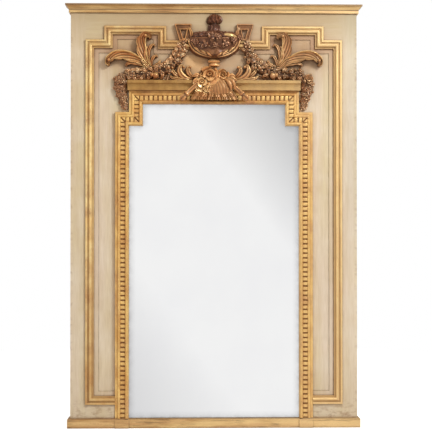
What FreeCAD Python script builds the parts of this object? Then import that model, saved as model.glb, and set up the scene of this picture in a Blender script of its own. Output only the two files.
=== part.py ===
import FreeCAD, Part
import math
import os

import Sketcher

# A tall overmantel mirror: a pine case with a stepped gilt panel moulding, a stepped sight moulding
# round one mirror plate, a shelf-like cap, and planted carving round an urn. Everything stands on a
# base rail. +X is to the right, the face looks along -Y, +Z is up, and the origin is the middle of
# the bounding box's bottom face. "Depth" is always measured forward from the wall plane.

SIZES = {
    # case
    "body_width": 1185,
    "body_height": 1750,
    "chassis_depth": 40,
    "face_board": 20,
    "panel_board": 12,
    "face_stile_width": 61.5,
    "back_stile_width": 70,
    "back_rail_height": 80,
    # joints of the case
    "tenon_length": 45,
    "tenon_thick": 12,
    "tenon_shoulder": 10,
    "joint_clearance": 0.2,
    # gilt panel moulding
    "gilt_width": 34,
    "gilt_fillet": 8,
    "gilt_fillet_rise": 16,
    "gilt_groove": 6,
    "gilt_groove_rise": 11,
    "gilt_torus": 13,
    "gilt_torus_rise": 14,
    "gilt_lip_rise": 8,
    "foot_level": 97,
    "top_bar_drop": 90,
    "step_drop": 57,
    "step_return": 77,
    "crossbar_drop": 60,
    "crossbar_half": 198,
    "field_border": 19,
    "field_sink": 3,
    # sight moulding and mirror plate
    "sight_width": 57,
    "sight_cove": 10,
    "sight_cove_rise": 12,
    "sight_bead": 12,
    "sight_outer_rise": 15,
    "sight_band_rise": 11,
    "sight_inner_rise": 19,
    "sight_edge_rise": 9,
    "sight_edge": 3,
    "sight_margin": 122.5,
    "sight_step_drop": 89.5,
    "glass_thick": 5,
    "glass_stand": 4,
    "glass_lap": 15,
    "glass_room": 2,
    "glass_play": 0.3,
    "inner_stile_bearing": 18,
    "inner_stile_width": 70,
    "plank_count": 5,
    "plank_gap": 1,
    "plank_end_room": 2,
    # cap, cornice and base
    "cap_overhang": 6,
    "cap_rise": 40,
    "cap_front": 92,
    "cap_foot": 78,
    "cap_lower_fillet": 10,
    "cap_upper_fillet": 12,
    "cornice_height": 35,
    "cornice_reach": 22,
    "cornice_top_fillet": 6,
    "cornice_bead": 12,
    "cornice_bead_reach": 8,
    "base_height": 40,
    "base_reach": 12,
    "base_easing": 4,
    "plinth_block": 5,
    # carving
    "carving_front": 115,
    "carving_room": 0.3,
    "bud_room": 4,
    "bud_half": 18,
    "bud_rise": 24,
    "bud_seat": 15,
    "neck_half": 17,
    "neck_rise": 60,
    "lid_half": 98,
    "lid_rise": 34,
    "lid_depth": 36,
    "lid_stand": 2,
    "handle_rise": 55,
    "handle_outer": 164,
    "handle_inner": 86,
    "handle_foot_outer": 128,
    "handle_foot_inner": 104,
    "handle_bar": 12,
    "handle_depth": 16,
    "bowl_half": 120,
    "bowl_drop": 88,
    "bowl_depth": 50,
    "foot_half": 21,
    "foot_drop": 30,
    "foot_room": 3,
    "rose_half": 31,
    "rose_rise": 27,
    "rose_off": 17,
    "second_rose_half": 23,
    "second_rose_off": 34,
    "second_rose_back": 7,
    "small_rose_half": 21,
    "small_rose_off": 48,
    "small_rose_drop": 15,
    "ground_half": 58,
    "ground_drop": 11,
    "ground_depth": 8,
    "shell_half": 37,
    "shell_drop": 31,
    "shell_off": 36,
    "bloom_depth": 21,
    "fan_half_top": 52,
    "fan_half_foot": 82,
    "fan_drop": 84,
    "fan_depth": 12,
    "torch_start": 76,
    "torch_drop": 9,
    "torch_length": 94,
    "torch_lean": 36,
    "torch_thin": 6,
    "torch_thick": 9,
    "leaf_depth": 26,
    "scroll_reach": 178,
    "scroll_near": 92,
    "scroll_rise": 67,
    "flower_size": 20,
    "flower_pitch": 33,
    "flower_stand": 6,
    "garland_start": 150,
    "garland_drop": 52,
    "garland_turn": 195,
    "garland_turn_rise": 3,
    "garland_end_off": 22.5,
    "garland_end_rise": 30,
    "drop_half": 27,
    "drop_tip": 9,
    "drop_off": 27.5,
    "drop_rise": 7,
    "drop_room": 8.5,
    "root_off": 10,
    "root_rise": 57,
    "root_half": 14,
    "tall_off": 18,
    "tall_rise": 116,
    "curl_half": 30,
    "reach_room": 65,
    "reach_rise": 34,
    "tip_half": 24,
    # hangers
    "rail_recess": 16,
    "hanging_rail_drop": 330,
    "hanging_rail_height": 110,
    "hanger_inset": 51.5,
    "hanger_drop": 32,
    "strap_width": 26,
    "strap_length": 62,
    "strap_thick": 2,
    "barrel_off": 8.5,
    "barrel_radius": 4.6,
    "wire_radius": 2.5,
    "wire_play": 0.1,
    "ring_radius": 22.5,
    "screw_radius": 2,
    "screw_play": 0.05,
    "screw_head_radius": 4,
    "screw_head": 2.2,
    "screw_length": 18,
    "screw_room": 1,
    "screw_first": 12,
    "screw_pitch": 20,
}

SPILL = 6  # how far a cut runs past the wood it takes away

doc = FreeCAD.newDocument("trumeau_mirror")
sheet = doc.addObject("Spreadsheet::Sheet", "Sizes")
for row, (alias, number) in enumerate(SIZES.items(), start=1):
    sheet.set(f"A{row}", alias)
    sheet.set(f"B{row}", str(number))
    sheet.setAlias(f"B{row}", alias)
doc.recompute()


class Size:
    """A number worked out from the sheet, with the expression that gives it."""

    def __init__(self, value, text):
        self.value = float(value)
        self.text = text

    def __add__(self, other):
        other = as_size(other)
        return Size(self.value + other.value, f"({self.text} + {other.text})")

    def __sub__(self, other):
        other = as_size(other)
        return Size(self.value - other.value, f"({self.text} - {other.text})")

    def __mul__(self, other):
        other = as_size(other)
        return Size(self.value * other.value, f"({self.text} * {other.text})")

    def __truediv__(self, other):
        other = as_size(other)
        return Size(self.value / other.value, f"({self.text} / {other.text})")

    def __neg__(self):
        return self * -1

    def __radd__(self, other):
        return as_size(other) + self

    def __rsub__(self, other):
        return as_size(other) - self

    __rmul__ = __mul__


def as_size(number):
    return number if isinstance(number, Size) else Size(number, f"({float(number)!r})")


class Sheet:
    """Reads the sheet's cells by name: cell.body_width, for one."""

    def __getattr__(self, alias):
        return Size(sheet.get(alias), f"Sizes.{alias}")


cell = Sheet()

# Planes that several pieces share, as depths from the wall and distances from the middle.
wall = cell.carving_front / 2
half_body = cell.body_width / 2
face_front = cell.chassis_depth + cell.face_board
panel_front = cell.chassis_depth + cell.panel_board
glass_front = panel_front + cell.glass_stand
glass_back = glass_front - cell.glass_thick
gilt_outer = half_body - cell.face_stile_width
gilt_inner = gilt_outer - cell.gilt_width
gilt_front = panel_front + cell.gilt_torus_rise + cell.gilt_torus / 2
step_half = gilt_outer - cell.step_return
step_inner = step_half - cell.gilt_width
crossbar_inner = cell.crossbar_half + cell.gilt_width
sight_half = gilt_outer - cell.sight_margin
sight_inner = sight_half - cell.sight_width
riser_inner = sight_inner - cell.sight_width
glass_half = sight_inner + cell.glass_lap
glass_top_half = riser_inner + cell.glass_lap
bay_half = glass_half + cell.glass_room
bay_top_half = glass_top_half + cell.glass_room
cap_half = sight_inner + cell.cap_overhang
back_inner = half_body - cell.back_stile_width
inner_stile_near = glass_half - cell.inner_stile_bearing
inner_stile_far = inner_stile_near + cell.inner_stile_width
field_front = panel_front - cell.field_sink
field_inset = cell.gilt_width + cell.field_border
hanger_across = sight_inner - cell.hanger_inset

# Levels of the panel, measured down from the top.
top_bar_level = cell.body_height - cell.top_bar_drop
step_level = top_bar_level - cell.step_drop
crossbar_level = top_bar_level - cell.crossbar_drop
field_top = top_bar_level - field_inset
hanging_rail_top = cell.body_height - cell.hanging_rail_drop
hanging_rail_foot = hanging_rail_top - cell.hanging_rail_height
hanger_level = hanging_rail_top - cell.hanger_drop

# Levels of the crown: the urn hangs from under the cornice, the bouquet from the urn's foot, and
# the cap and the sight moulding from the bouquet.
bud_level = cell.body_height - cell.cornice_height - cell.bud_room - cell.bud_rise
neck_top = bud_level - cell.bud_seat
bowl_top = neck_top - cell.neck_rise
stem_foot = bowl_top - cell.bowl_drop - cell.foot_drop
rose_level = stem_foot - cell.foot_room - cell.rose_half
cap_top = rose_level - cell.rose_rise
sight_head_level = cap_top - cell.cap_rise
sight_head_inner = sight_head_level - cell.sight_width
sight_step_level = sight_head_level - cell.sight_step_drop
sight_step_inner = sight_step_level - cell.sight_width
glass_foot = cell.base_height - cell.glass_lap
glass_step = sight_step_inner + cell.glass_lap
glass_top = sight_head_inner + cell.glass_lap
bay_step = glass_step + cell.glass_room
bay_top = glass_top + cell.glass_room


def bind(item, name, size):
    item.setExpression(name, as_size(size).text)


def at_depth(item, depth):
    """Sets a sub-part forward so that its own y = 0 plane lies at this depth from the wall."""
    bind(item, "Placement.Base.y", wall - depth)


def new_body(label):
    return doc.addObject("PartDesign::Body", label)


def origin_plane(body, role):
    return next(plane for plane in body.Origin.OriginFeatures if plane.Role == role)


def pin(sketch, edge, end, across, up):
    """Fixes one point of a sketch at two sizes."""
    for kind, size in (("DistanceX", as_size(across)), ("DistanceY", as_size(up))):
        index = sketch.addConstraint(Sketcher.Constraint(kind, edge, end, size.value))
        sketch.setExpression(f"Constraints[{index}]", size.text)


def arc_edge(start, finish, radius, turn):
    """The short arc from start to finish: turn is 1 to the left and -1 to the right."""
    chord = finish - start
    left = FreeCAD.Vector(-chord.y, chord.x, 0).normalize()
    height = math.sqrt(radius * radius - chord.Length * chord.Length / 4)
    centre = start + chord * 0.5 + left * (turn * height)
    first, last = (start, finish) if turn > 0 else (finish, start)
    angle = math.atan2(first.y - centre.y, first.x - centre.x)
    sweep = 2 * math.asin(chord.Length / 2 / radius)
    circle = Part.Circle(centre, FreeCAD.Vector(0, 0, 1), radius)
    return Part.ArcOfCircle(circle, angle, angle + sweep)


def add_loop(sketch, points):
    """Adds a closed outline. A point is (across, up). A point (across, up, radius, turn) is
    reached by an arc."""
    first_edge = sketch.GeometryCount
    places = [FreeCAD.Vector(as_size(point[0]).value, as_size(point[1]).value, 0) for point in points]
    ends = []
    for index, point in enumerate(points):
        start, finish = places[index - 1], places[index]
        if len(point) == 2:
            sketch.addGeometry(Part.LineSegment(start, finish), False)
            ends.append((1, 2))
            continue
        radius, turn = as_size(point[2]), point[3]
        edge = sketch.addGeometry(arc_edge(start, finish, radius.value, turn), False)
        constraint = sketch.addConstraint(Sketcher.Constraint("Radius", edge, radius.value))
        sketch.setExpression(f"Constraints[{constraint}]", radius.text)
        ends.append((1, 2) if turn > 0 else (2, 1))
    for index, point in enumerate(points):
        following = (index + 1) % len(points)
        here, there = first_edge + index, first_edge + following
        joint = Sketcher.Constraint("Coincident", here, ends[index][1], there, ends[following][0])
        sketch.addConstraint(joint)
        pin(sketch, here, ends[index][1], point[0], point[1])


def add_circle(sketch, across, up, radius):
    centre = FreeCAD.Vector(as_size(across).value, as_size(up).value, 0)
    circle = Part.Circle(centre, FreeCAD.Vector(0, 0, 1), as_size(radius).value)
    edge = sketch.addGeometry(circle, False)
    pin(sketch, edge, 3, across, up)
    index = sketch.addConstraint(Sketcher.Constraint("Radius", edge, as_size(radius).value))
    sketch.setExpression(f"Constraints[{index}]", as_size(radius).text)


def new_sketch(body, role, loops=(), circles=()):
    sketch = body.newObject("Sketcher::SketchObject", f"{body.Label}_outline")
    sketch.AttachmentSupport = [(origin_plane(body, role), "")]
    sketch.MapMode = "FlatFace"
    for points in loops:
        add_loop(sketch, points)
    for circle in circles:
        add_circle(sketch, *circle)
    return sketch


def pad(body, sketch, length, side="One side"):
    feature = body.newObject("PartDesign::Pad", f"{body.Label}_pad")
    feature.Profile = sketch
    feature.SideType = side
    bind(feature, "Length", length)
    return feature


def pocket(body, sketch, length, side="One side", reverse=False):
    feature = body.newObject("PartDesign::Pocket", f"{body.Label}_cut")
    feature.Profile = sketch
    feature.SideType = side
    feature.Reversed = reverse
    bind(feature, "Length", length)
    return feature


def rectangle(low_across, low_up, high_across, high_up):
    return [
        (low_across, low_up),
        (high_across, low_up),
        (high_across, high_up),
        (low_across, high_up),
    ]


def mirrored(points):
    """The same outline on the other side of the middle, with its arcs turned over."""
    turned = []
    for point in points:
        if len(point) == 2:
            turned.append((-as_size(point[0]), point[1]))
        else:
            turned.append((-as_size(point[0]), point[1], point[2], -point[3]))
    return turned


def on_side(side, points):
    return points if side > 0 else mirrored(points)


SIDES = (("left", -1), ("right", 1))


def board(label, points, back, thickness):
    """A flat board with this front view, its back at the given depth."""
    body = new_body(label)
    pad(body, new_sketch(body, "XZ_Plane", [points]), thickness)
    at_depth(body, back)
    return body


# ---------------------------------------------------------------- back frame

tenon_back = (cell.chassis_depth + cell.rail_recess - cell.tenon_thick) / 2
tenon_front = tenon_back + cell.tenon_thick


def rail_levels():
    """The foot and top of each back rail."""
    return {
        "back_bottom_rail": (as_size(0), cell.back_rail_height),
        "hanging_rail": (hanging_rail_foot, hanging_rail_top),
        "back_top_rail": (cell.body_height - cell.back_rail_height, cell.body_height),
    }


def back_stile(side_name, side):
    """An upright of the back frame, mortised for the three rails."""
    body = new_body(f"back_stile_{side_name}")
    outline = on_side(side, rectangle(back_inner, 0, half_body, cell.body_height))
    pad(body, new_sketch(body, "XZ_Plane", [outline]), cell.chassis_depth)
    play = cell.joint_clearance
    mortises = []
    for foot, top in rail_levels().values():
        low, high = foot + cell.tenon_shoulder - play, top - cell.tenon_shoulder + play
        mortises.append(rectangle(-tenon_front - play, low, -tenon_back + play, high))
    reach = (back_inner + cell.tenon_length + play) * 2
    pocket(body, new_sketch(body, "YZ_Plane", mortises), reach, "Symmetric")
    at_depth(body, 0)
    return body


def rail_tenons(body, foot, top):
    low, high = foot + cell.tenon_shoulder, top - cell.tenon_shoulder
    tenon = rectangle(-tenon_front, low, -tenon_back, high)
    pad(body, new_sketch(body, "YZ_Plane", [tenon]), (back_inner + cell.tenon_length) * 2, "Symmetric")


def upright_mortises(body, level, reverse):
    """The two blind mortises that take the inner stiles, cut from this level."""
    play = cell.joint_clearance
    near = inner_stile_near + cell.tenon_shoulder - play
    far = inner_stile_far - cell.tenon_shoulder + play
    mortise = rectangle(near, -tenon_front - play, far, -tenon_back + play)
    sketch = new_sketch(body, "XY_Plane", [mortise, mirrored(mortise)])
    bind(sketch, "AttachmentOffset.Base.z", level)
    pocket(body, sketch, cell.tenon_length + play, reverse=reverse)


def back_bottom_rail():
    foot, top = rail_levels()["back_bottom_rail"]
    body = board("back_bottom_rail", rectangle(-back_inner, foot, back_inner, top), 0, cell.chassis_depth)
    rail_tenons(body, foot, top)
    upright_mortises(body, top, reverse=False)
    return body


def back_top_rail():
    foot, top = rail_levels()["back_top_rail"]
    body = board("back_top_rail", rectangle(-back_inner, foot, back_inner, top), 0, cell.chassis_depth)
    rail_tenons(body, foot, top)
    return body


def hanger_screw_places():
    """The four hanger screws' (across, level)."""
    places = []
    for _, side in SIDES:
        for row_number in range(2):
            level = hanger_level - cell.screw_first - cell.screw_pitch * row_number
            places.append((hanger_across * side, level))
    return places


def hanging_rail():
    """The rail that carries the hangers, set in from the wall to leave them room."""
    foot, top = rail_levels()["hanging_rail"]
    body = new_body("hanging_rail")
    outline = rectangle(-back_inner, foot, back_inner, top)
    front_slab = new_sketch(body, "XZ_Plane", [outline])
    bind(front_slab, "AttachmentOffset.Base.z", cell.rail_recess)
    pad(body, front_slab, cell.chassis_depth - cell.rail_recess)
    rail_tenons(body, foot, top)
    upright_mortises(body, foot, reverse=True)
    radius = cell.screw_radius + cell.screw_play
    holes = [(across, level, radius) for across, level in hanger_screw_places()]
    hole_sketch = new_sketch(body, "XZ_Plane", circles=holes)
    depth = cell.rail_recess + cell.screw_length - cell.strap_thick + cell.screw_room
    pocket(body, hole_sketch, depth, reverse=True)
    at_depth(body, 0)
    return body


def inner_stile(side_name, side):
    """An upright behind the sight moulding, tenoned into the bottom rail and the hanging rail."""
    body = new_body(f"inner_stile_{side_name}")
    length = hanging_rail_foot - cell.back_rail_height
    outline = rectangle(inner_stile_near, cell.tenon_length, inner_stile_far, length + cell.tenon_length)
    pad(body, new_sketch(body, "XZ_Plane", [on_side(side, outline)]), cell.chassis_depth)
    near, far = inner_stile_near + cell.tenon_shoulder, inner_stile_far - cell.tenon_shoulder
    tenon = on_side(side, rectangle(near, -tenon_front, far, -tenon_back))
    pad(body, new_sketch(body, "XY_Plane", [tenon]), length + cell.tenon_length * 2)
    bind(body, "Placement.Base.z", cell.back_rail_height - cell.tenon_length)
    at_depth(body, 0)
    return body


# ---------------------------------------------------------------- face frame and panels

face_tenon_back = cell.face_board * 0.3
face_tenon_front = cell.face_board * 0.7


def face_stile(side_name, side):
    """The painted outer band, mortised for the top and bottom face rails."""
    body = new_body(f"face_stile_{side_name}")
    outline = on_side(side, rectangle(gilt_outer, 0, half_body, cell.body_height))
    pad(body, new_sketch(body, "XZ_Plane", [outline]), cell.face_board)
    play = cell.joint_clearance
    mortises = []
    for foot, top in face_tenon_levels():
        low, high = foot - play, top + play
        mortises.append(rectangle(-face_tenon_front - play, low, -face_tenon_back + play, high))
    reach = (gilt_outer + cell.tenon_length + play) * 2
    pocket(body, new_sketch(body, "YZ_Plane", mortises), reach, "Symmetric")
    at_depth(body, cell.chassis_depth)
    return body


def face_tenon_levels():
    """The foot and top of the tenons of the bottom and top face rails."""
    shoulder = cell.tenon_shoulder
    return (
        (shoulder / 2, glass_foot - shoulder / 2),
        (top_bar_level + shoulder, cell.body_height - shoulder),
    )


def face_tenons(body, levels):
    foot, top = levels
    tenon = rectangle(-face_tenon_front, foot, -face_tenon_back, top)
    reach = (gilt_outer + cell.tenon_length) * 2
    pad(body, new_sketch(body, "YZ_Plane", [tenon]), reach, "Symmetric")


def face_top_rail():
    """The painted top of the face, with its lower edge stepped round the gilt moulding."""
    right = [
        (cell.crossbar_half, crossbar_level),
        (cell.crossbar_half, top_bar_level),
        (step_half, top_bar_level),
        (step_half, step_level),
        (gilt_outer, step_level),
        (gilt_outer, cell.body_height),
    ]
    left = list(reversed(mirrored(right)))
    body = board("face_top_rail", right + left, cell.chassis_depth, cell.face_board)
    face_tenons(body, face_tenon_levels()[1])
    return body


def face_bottom_rail():
    """The painted foot of the face, notched where the mirror plate stands."""
    right = [
        (bay_half, glass_foot),
        (bay_half, cell.base_height),
        (sight_half, cell.base_height),
        (sight_half, cell.foot_level),
        (gilt_outer, cell.foot_level),
        (gilt_outer, 0),
    ]
    left = list(reversed(mirrored(right)))
    body = board("face_bottom_rail", right + left, cell.chassis_depth, cell.face_board)
    face_tenons(body, face_tenon_levels()[0])
    return body


def sunk_field(body, points):
    """Sinks the panel's field behind its plain border."""
    sketch = new_sketch(body, "XZ_Plane", [points])
    bind(sketch, "AttachmentOffset.Base.z", cell.panel_board)
    pocket(body, sketch, cell.field_sink)


def panel_side(side_name, side):
    """The tall board beside the mirror, with its top following the stepped gilt moulding."""
    outline = [
        (gilt_outer, cell.foot_level),
        (gilt_outer, step_level),
        (step_half, step_level),
        (step_half, top_bar_level),
        (bay_half, top_bar_level),
        (bay_half, cell.base_height),
        (sight_half, cell.base_height),
        (sight_half, cell.foot_level),
    ]
    body = board(f"panel_{side_name}", on_side(side, outline), cell.chassis_depth, cell.panel_board)
    field = [
        (sight_half, cell.foot_level + field_inset),
        (gilt_outer - field_inset, cell.foot_level + field_inset),
        (gilt_outer - field_inset, step_level - field_inset),
        (step_half - field_inset, step_level - field_inset),
        (step_half - field_inset, field_top),
        (bay_half, field_top),
        (bay_half, sight_step_level),
        (sight_half, sight_step_level),
    ]
    sunk_field(body, on_side(side, field))
    return body


def panel_top():
    """The board above the mirror, carrying the urn and the cap."""
    right = [
        (bay_top_half, bay_top),
        (bay_top_half, bay_step),
        (bay_half, bay_step),
        (bay_half, top_bar_level),
        (cell.crossbar_half, top_bar_level),
        (cell.crossbar_half, crossbar_level),
    ]
    left = list(reversed(mirrored(right)))
    body = board("panel_top", right + left, cell.chassis_depth, cell.panel_board)
    right_field = [
        (cap_half, cap_top),
        (cap_half, sight_head_level),
        (sight_inner, sight_head_level),
        (sight_inner, sight_step_level),
        (bay_half, sight_step_level),
        (bay_half, field_top),
        (cell.crossbar_half + field_inset, field_top),
        (cell.crossbar_half + field_inset, crossbar_level - field_inset),
    ]
    left_field = list(reversed(mirrored(right_field)))
    sunk_field(body, right_field + left_field)
    return body


# ---------------------------------------------------------------- mouldings

def gilt_waste():
    """What the moulding plane takes off in front of the gilt moulding, from its outer edge."""
    fillet_end = cell.gilt_fillet
    groove_end = fillet_end + cell.gilt_groove
    torus_end = groove_end + cell.gilt_torus
    clear = cell.gilt_torus_rise + cell.gilt_torus + SPILL
    return [
        (-SPILL, cell.gilt_fillet_rise),
        (fillet_end, cell.gilt_fillet_rise),
        (fillet_end, cell.gilt_groove_rise),
        (groove_end, cell.gilt_groove_rise),
        (groove_end, cell.gilt_torus_rise),
        (torus_end, cell.gilt_torus_rise, cell.gilt_torus * 0.53, -1),
        (torus_end, cell.gilt_lip_rise),
        (cell.gilt_width + SPILL, cell.gilt_lip_rise),
        (cell.gilt_width + SPILL, clear),
        (-SPILL, clear),
    ]


def sight_waste():
    """What is planed off in front of the sight moulding, from its outer edge."""
    cove_end = cell.sight_cove
    bead_end = cove_end + cell.sight_bead
    edge_start = cell.sight_width - cell.sight_edge
    band_end = edge_start - cell.sight_bead
    bead_radius = cell.sight_bead * 0.53
    clear = cell.sight_inner_rise + cell.sight_bead + SPILL
    return [
        (-SPILL, cell.sight_cove_rise),
        (cove_end, cell.sight_cove_rise),
        (cove_end, cell.sight_outer_rise),
        (bead_end, cell.sight_outer_rise, bead_radius, -1),
        (bead_end, cell.sight_band_rise),
        (band_end, cell.sight_band_rise),
        (band_end, cell.sight_inner_rise),
        (edge_start, cell.sight_inner_rise, bead_radius, -1),
        (cell.sight_width, cell.sight_edge_rise),
        (cell.sight_width + SPILL, cell.sight_edge_rise),
        (cell.sight_width + SPILL, clear),
        (-SPILL, clear),
    ]


def sight_rebate():
    """The step at the back of the sight moulding that laps over the mirror plate."""
    start = cell.sight_width - cell.glass_lap - cell.glass_room
    rise = glass_front - panel_front + cell.glass_play
    return rectangle(start, -SPILL, cell.sight_width + SPILL, rise)


def placed_waste(waste, edge, inward, upright):
    """Turns (from outer edge, rise) into the section plane's own coordinates."""
    turned = []
    for point in waste:
        place = edge + as_size(point[0]) * inward
        pair = (place, -as_size(point[1])) if upright else (-as_size(point[1]), place)
        if len(point) == 4:
            turn = -point[3] * inward if upright else point[3] * inward
            pair = pair + (point[2], turn)
        turned.append(pair)
    return turned


def group(label, pieces):
    """Several separate solids of one kind that share a node."""
    compound = doc.addObject("Part::Compound", label)
    compound.Links = pieces
    return compound


def moulding(label, outer, inner, wastes, thick):
    """A mitred stick of moulding. outer and inner hold the (across, level) of both ends of its
    two long edges; wastes are cut along it."""
    body = new_body(label)
    corners = [outer[0], outer[1], inner[1], inner[0]]
    pad(body, new_sketch(body, "XZ_Plane", [corners]), thick)
    upright = abs(outer[0][0].value - outer[1][0].value) < 1e-6
    axis = 0 if upright else 1
    edge = outer[0][axis]
    inward = 1 if inner[0][axis].value > edge.value else -1
    loops = [placed_waste(waste, edge, inward, upright) for waste in wastes]
    role = "XY_Plane" if upright else "YZ_Plane"
    pocket(body, new_sketch(body, role, loops), cell.body_height * 3, "Symmetric")
    at_depth(body, panel_front)
    return body


def corner(across, level, side):
    return as_size(across) * side, as_size(level)


def gilt_stick(label, outer, inner):
    thick = cell.gilt_torus_rise + cell.gilt_torus
    return moulding(label, outer, inner, [gilt_waste()], thick)


def sight_stick(label, outer, inner):
    thick = cell.sight_inner_rise + cell.sight_bead
    return moulding(label, outer, inner, [sight_waste(), sight_rebate()], thick)


def gilt_side(side_name, side):
    """The outer gilt moulding of one side: foot, upright, step, two risers and top bar."""
    foot, width = cell.foot_level, cell.gilt_width
    step, top, cross = step_level, top_bar_level, crossbar_level
    outer_line = [
        corner(sight_half, foot, side),
        corner(gilt_outer, foot, side),
        corner(gilt_outer, step, side),
        corner(step_half, step, side),
        corner(step_half, top, side),
        corner(cell.crossbar_half, top, side),
        corner(cell.crossbar_half, cross, side),
    ]
    inner_line = [
        corner(sight_half, foot + width, side),
        corner(gilt_inner, foot + width, side),
        corner(gilt_inner, step - width, side),
        corner(step_inner, step - width, side),
        corner(step_inner, top - width, side),
        corner(crossbar_inner, top - width, side),
        corner(crossbar_inner, cross - width, side),
    ]
    names = ("gilt_foot", "gilt_upright", "step", "outer_riser", "gilt_top_bar", "inner_riser")
    sticks = {}
    for index, name in enumerate(names):
        ends = slice(index, index + 2)
        sticks[name] = gilt_stick(f"{name}_{side_name}", outer_line[ends], inner_line[ends])
    short = [sticks[name] for name in ("step", "outer_riser", "inner_riser")]
    returns = group(f"gilt_returns_{side_name}", short)
    return [sticks["gilt_foot"], sticks["gilt_upright"], sticks["gilt_top_bar"], returns]


def gilt_crossbar():
    level, low = crossbar_level, crossbar_level - cell.gilt_width
    outer = [corner(cell.crossbar_half, level, side) for _, side in SIDES]
    inner = [corner(crossbar_inner, low, side) for _, side in SIDES]
    return gilt_stick("gilt_crossbar", outer, inner)


def sight_side(side_name, side):
    """The sight moulding of one side: upright, step and riser."""
    step, head = sight_step_level, sight_head_level
    outer_line = [
        corner(sight_half, cell.base_height, side),
        corner(sight_half, step, side),
        corner(sight_inner, step, side),
        corner(sight_inner, head, side),
    ]
    inner_line = [
        corner(sight_inner, cell.base_height, side),
        corner(sight_inner, sight_step_inner, side),
        corner(riser_inner, sight_step_inner, side),
        corner(riser_inner, sight_head_inner, side),
    ]
    sticks = []
    for index, name in enumerate(("sight_upright", "sight_step", "sight_riser")):
        ends = slice(index, index + 2)
        sticks.append(sight_stick(f"{name}_{side_name}", outer_line[ends], inner_line[ends]))
    return sticks


def sight_head():
    outer = [corner(sight_inner, sight_head_level, side) for _, side in SIDES]
    inner = [corner(riser_inner, sight_head_inner, side) for _, side in SIDES]
    return sight_stick("sight_head", outer, inner)


def cap():
    """The shelf over the sight moulding: a fillet, a hollow and a square top edge."""
    foot, top = sight_head_level, cap_top
    body = board("cap", rectangle(-cap_half, foot, cap_half, top), panel_front,
                 cell.cap_front - panel_front)
    foot_out, top_out = cell.cap_foot - panel_front, cell.cap_front - panel_front
    hollow_foot, hollow_top = foot + cell.cap_lower_fillet, top - cell.cap_upper_fillet
    waste = [
        (-foot_out, foot - SPILL),
        (-foot_out, hollow_foot),
        (-top_out, hollow_top, (cell.cap_front - cell.cap_foot) * 1.4, 1),
        (-top_out - SPILL, hollow_top),
        (-top_out - SPILL, foot - SPILL),
    ]
    pocket(body, new_sketch(body, "YZ_Plane", [waste]), cap_half * 3, "Symmetric")
    return body


def cornice_waste(out):
    """What is planed off a cornice stick whose back lies at out = 0, as (out, level)."""
    top = cell.body_height
    foot = top - cell.cornice_height
    bead_top = foot + cell.cornice_bead
    fillet_foot = top - cell.cornice_top_fillet
    return [
        (out + cell.cornice_bead_reach, foot - SPILL),
        (out + cell.cornice_bead_reach, bead_top),
        (out + cell.cornice_reach, fillet_foot, cell.cornice_reach * 1.1, -1),
        (out + cell.cornice_reach + SPILL, fillet_foot),
        (out + cell.cornice_reach + SPILL, foot - SPILL),
    ]


def base_waste(out):
    """The eased top edge of a base stick whose back lies at out, as (out, level)."""
    front, top = out + cell.base_reach, cell.base_height
    return [
        (front - cell.base_easing, top),
        (front, top - cell.base_easing),
        (front + SPILL, top - cell.base_easing),
        (front + SPILL, top + SPILL),
        (front - cell.base_easing, top + SPILL),
    ]


def band_front(label, reach, foot, height, waste):
    """The front stick of a band that runs round the case, mitred to its returns."""
    body = new_body(label)
    back, front = -face_front, -face_front - reach
    plan = [(-half_body, back), (half_body, back), (half_body + reach, front), (-half_body - reach, front)]
    sketch = new_sketch(body, "XY_Plane", [plan])
    bind(sketch, "AttachmentOffset.Base.z", foot)
    pad(body, sketch, height)
    section = [(-as_size(point[0]),) + tuple(point[1:3]) + ((-point[3],) if len(point) == 4 else ())
               for point in waste(face_front)]
    pocket(body, new_sketch(body, "YZ_Plane", [section]), cell.body_width * 2, "Symmetric")
    at_depth(body, 0)
    return body


def band_return(label, side, reach, foot, height, waste):
    """The side stick of the same band, from the wall to the mitre."""
    body = new_body(label)
    plan = [
        (half_body, 0),
        (half_body + reach, 0),
        (half_body + reach, -face_front - reach),
        (half_body, -face_front),
    ]
    sketch = new_sketch(body, "XY_Plane", [on_side(side, plan)])
    bind(sketch, "AttachmentOffset.Base.z", foot)
    pad(body, sketch, height)
    section = on_side(side, waste(half_body))
    pocket(body, new_sketch(body, "XZ_Plane", [section]), face_front * 4, "Symmetric")
    at_depth(body, 0)
    return body


def cornice():
    foot = cell.body_height - cell.cornice_height
    sizes = (cell.cornice_reach, foot, cell.cornice_height, cornice_waste)
    sticks = [band_front("cornice_front", *sizes)]
    for side_name, side in SIDES:
        sticks.append(band_return(f"cornice_return_{side_name}", side, *sizes))
    return sticks


def base_rail():
    sizes = (cell.base_reach, as_size(0), cell.base_height, base_waste)
    sticks = [band_front("base_rail", *sizes)]
    for side_name, side in SIDES:
        sticks.append(band_return(f"base_return_{side_name}", side, *sizes))
    return sticks


def plinth_blocks():
    """The small block under each sight upright."""
    blocks = []
    for side_name, side in SIDES:
        outline = rectangle(sight_inner, 0, sight_half, cell.base_height - cell.base_easing)
        back = face_front + cell.base_reach
        blocks.append(board(f"plinth_block_{side_name}", on_side(side, outline), back, cell.plinth_block))
    return group("plinth_blocks", blocks)


# ---------------------------------------------------------------- mirror plate and its backing

def mirror_plate():
    """One stepped plate, standing on the face's bottom rail."""
    right = [
        (glass_half, glass_foot),
        (glass_half, glass_step),
        (glass_top_half, glass_step),
        (glass_top_half, glass_top),
    ]
    left = list(reversed(mirrored(right)))
    return board("mirror_plate", right + left, glass_back, cell.glass_thick)


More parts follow.
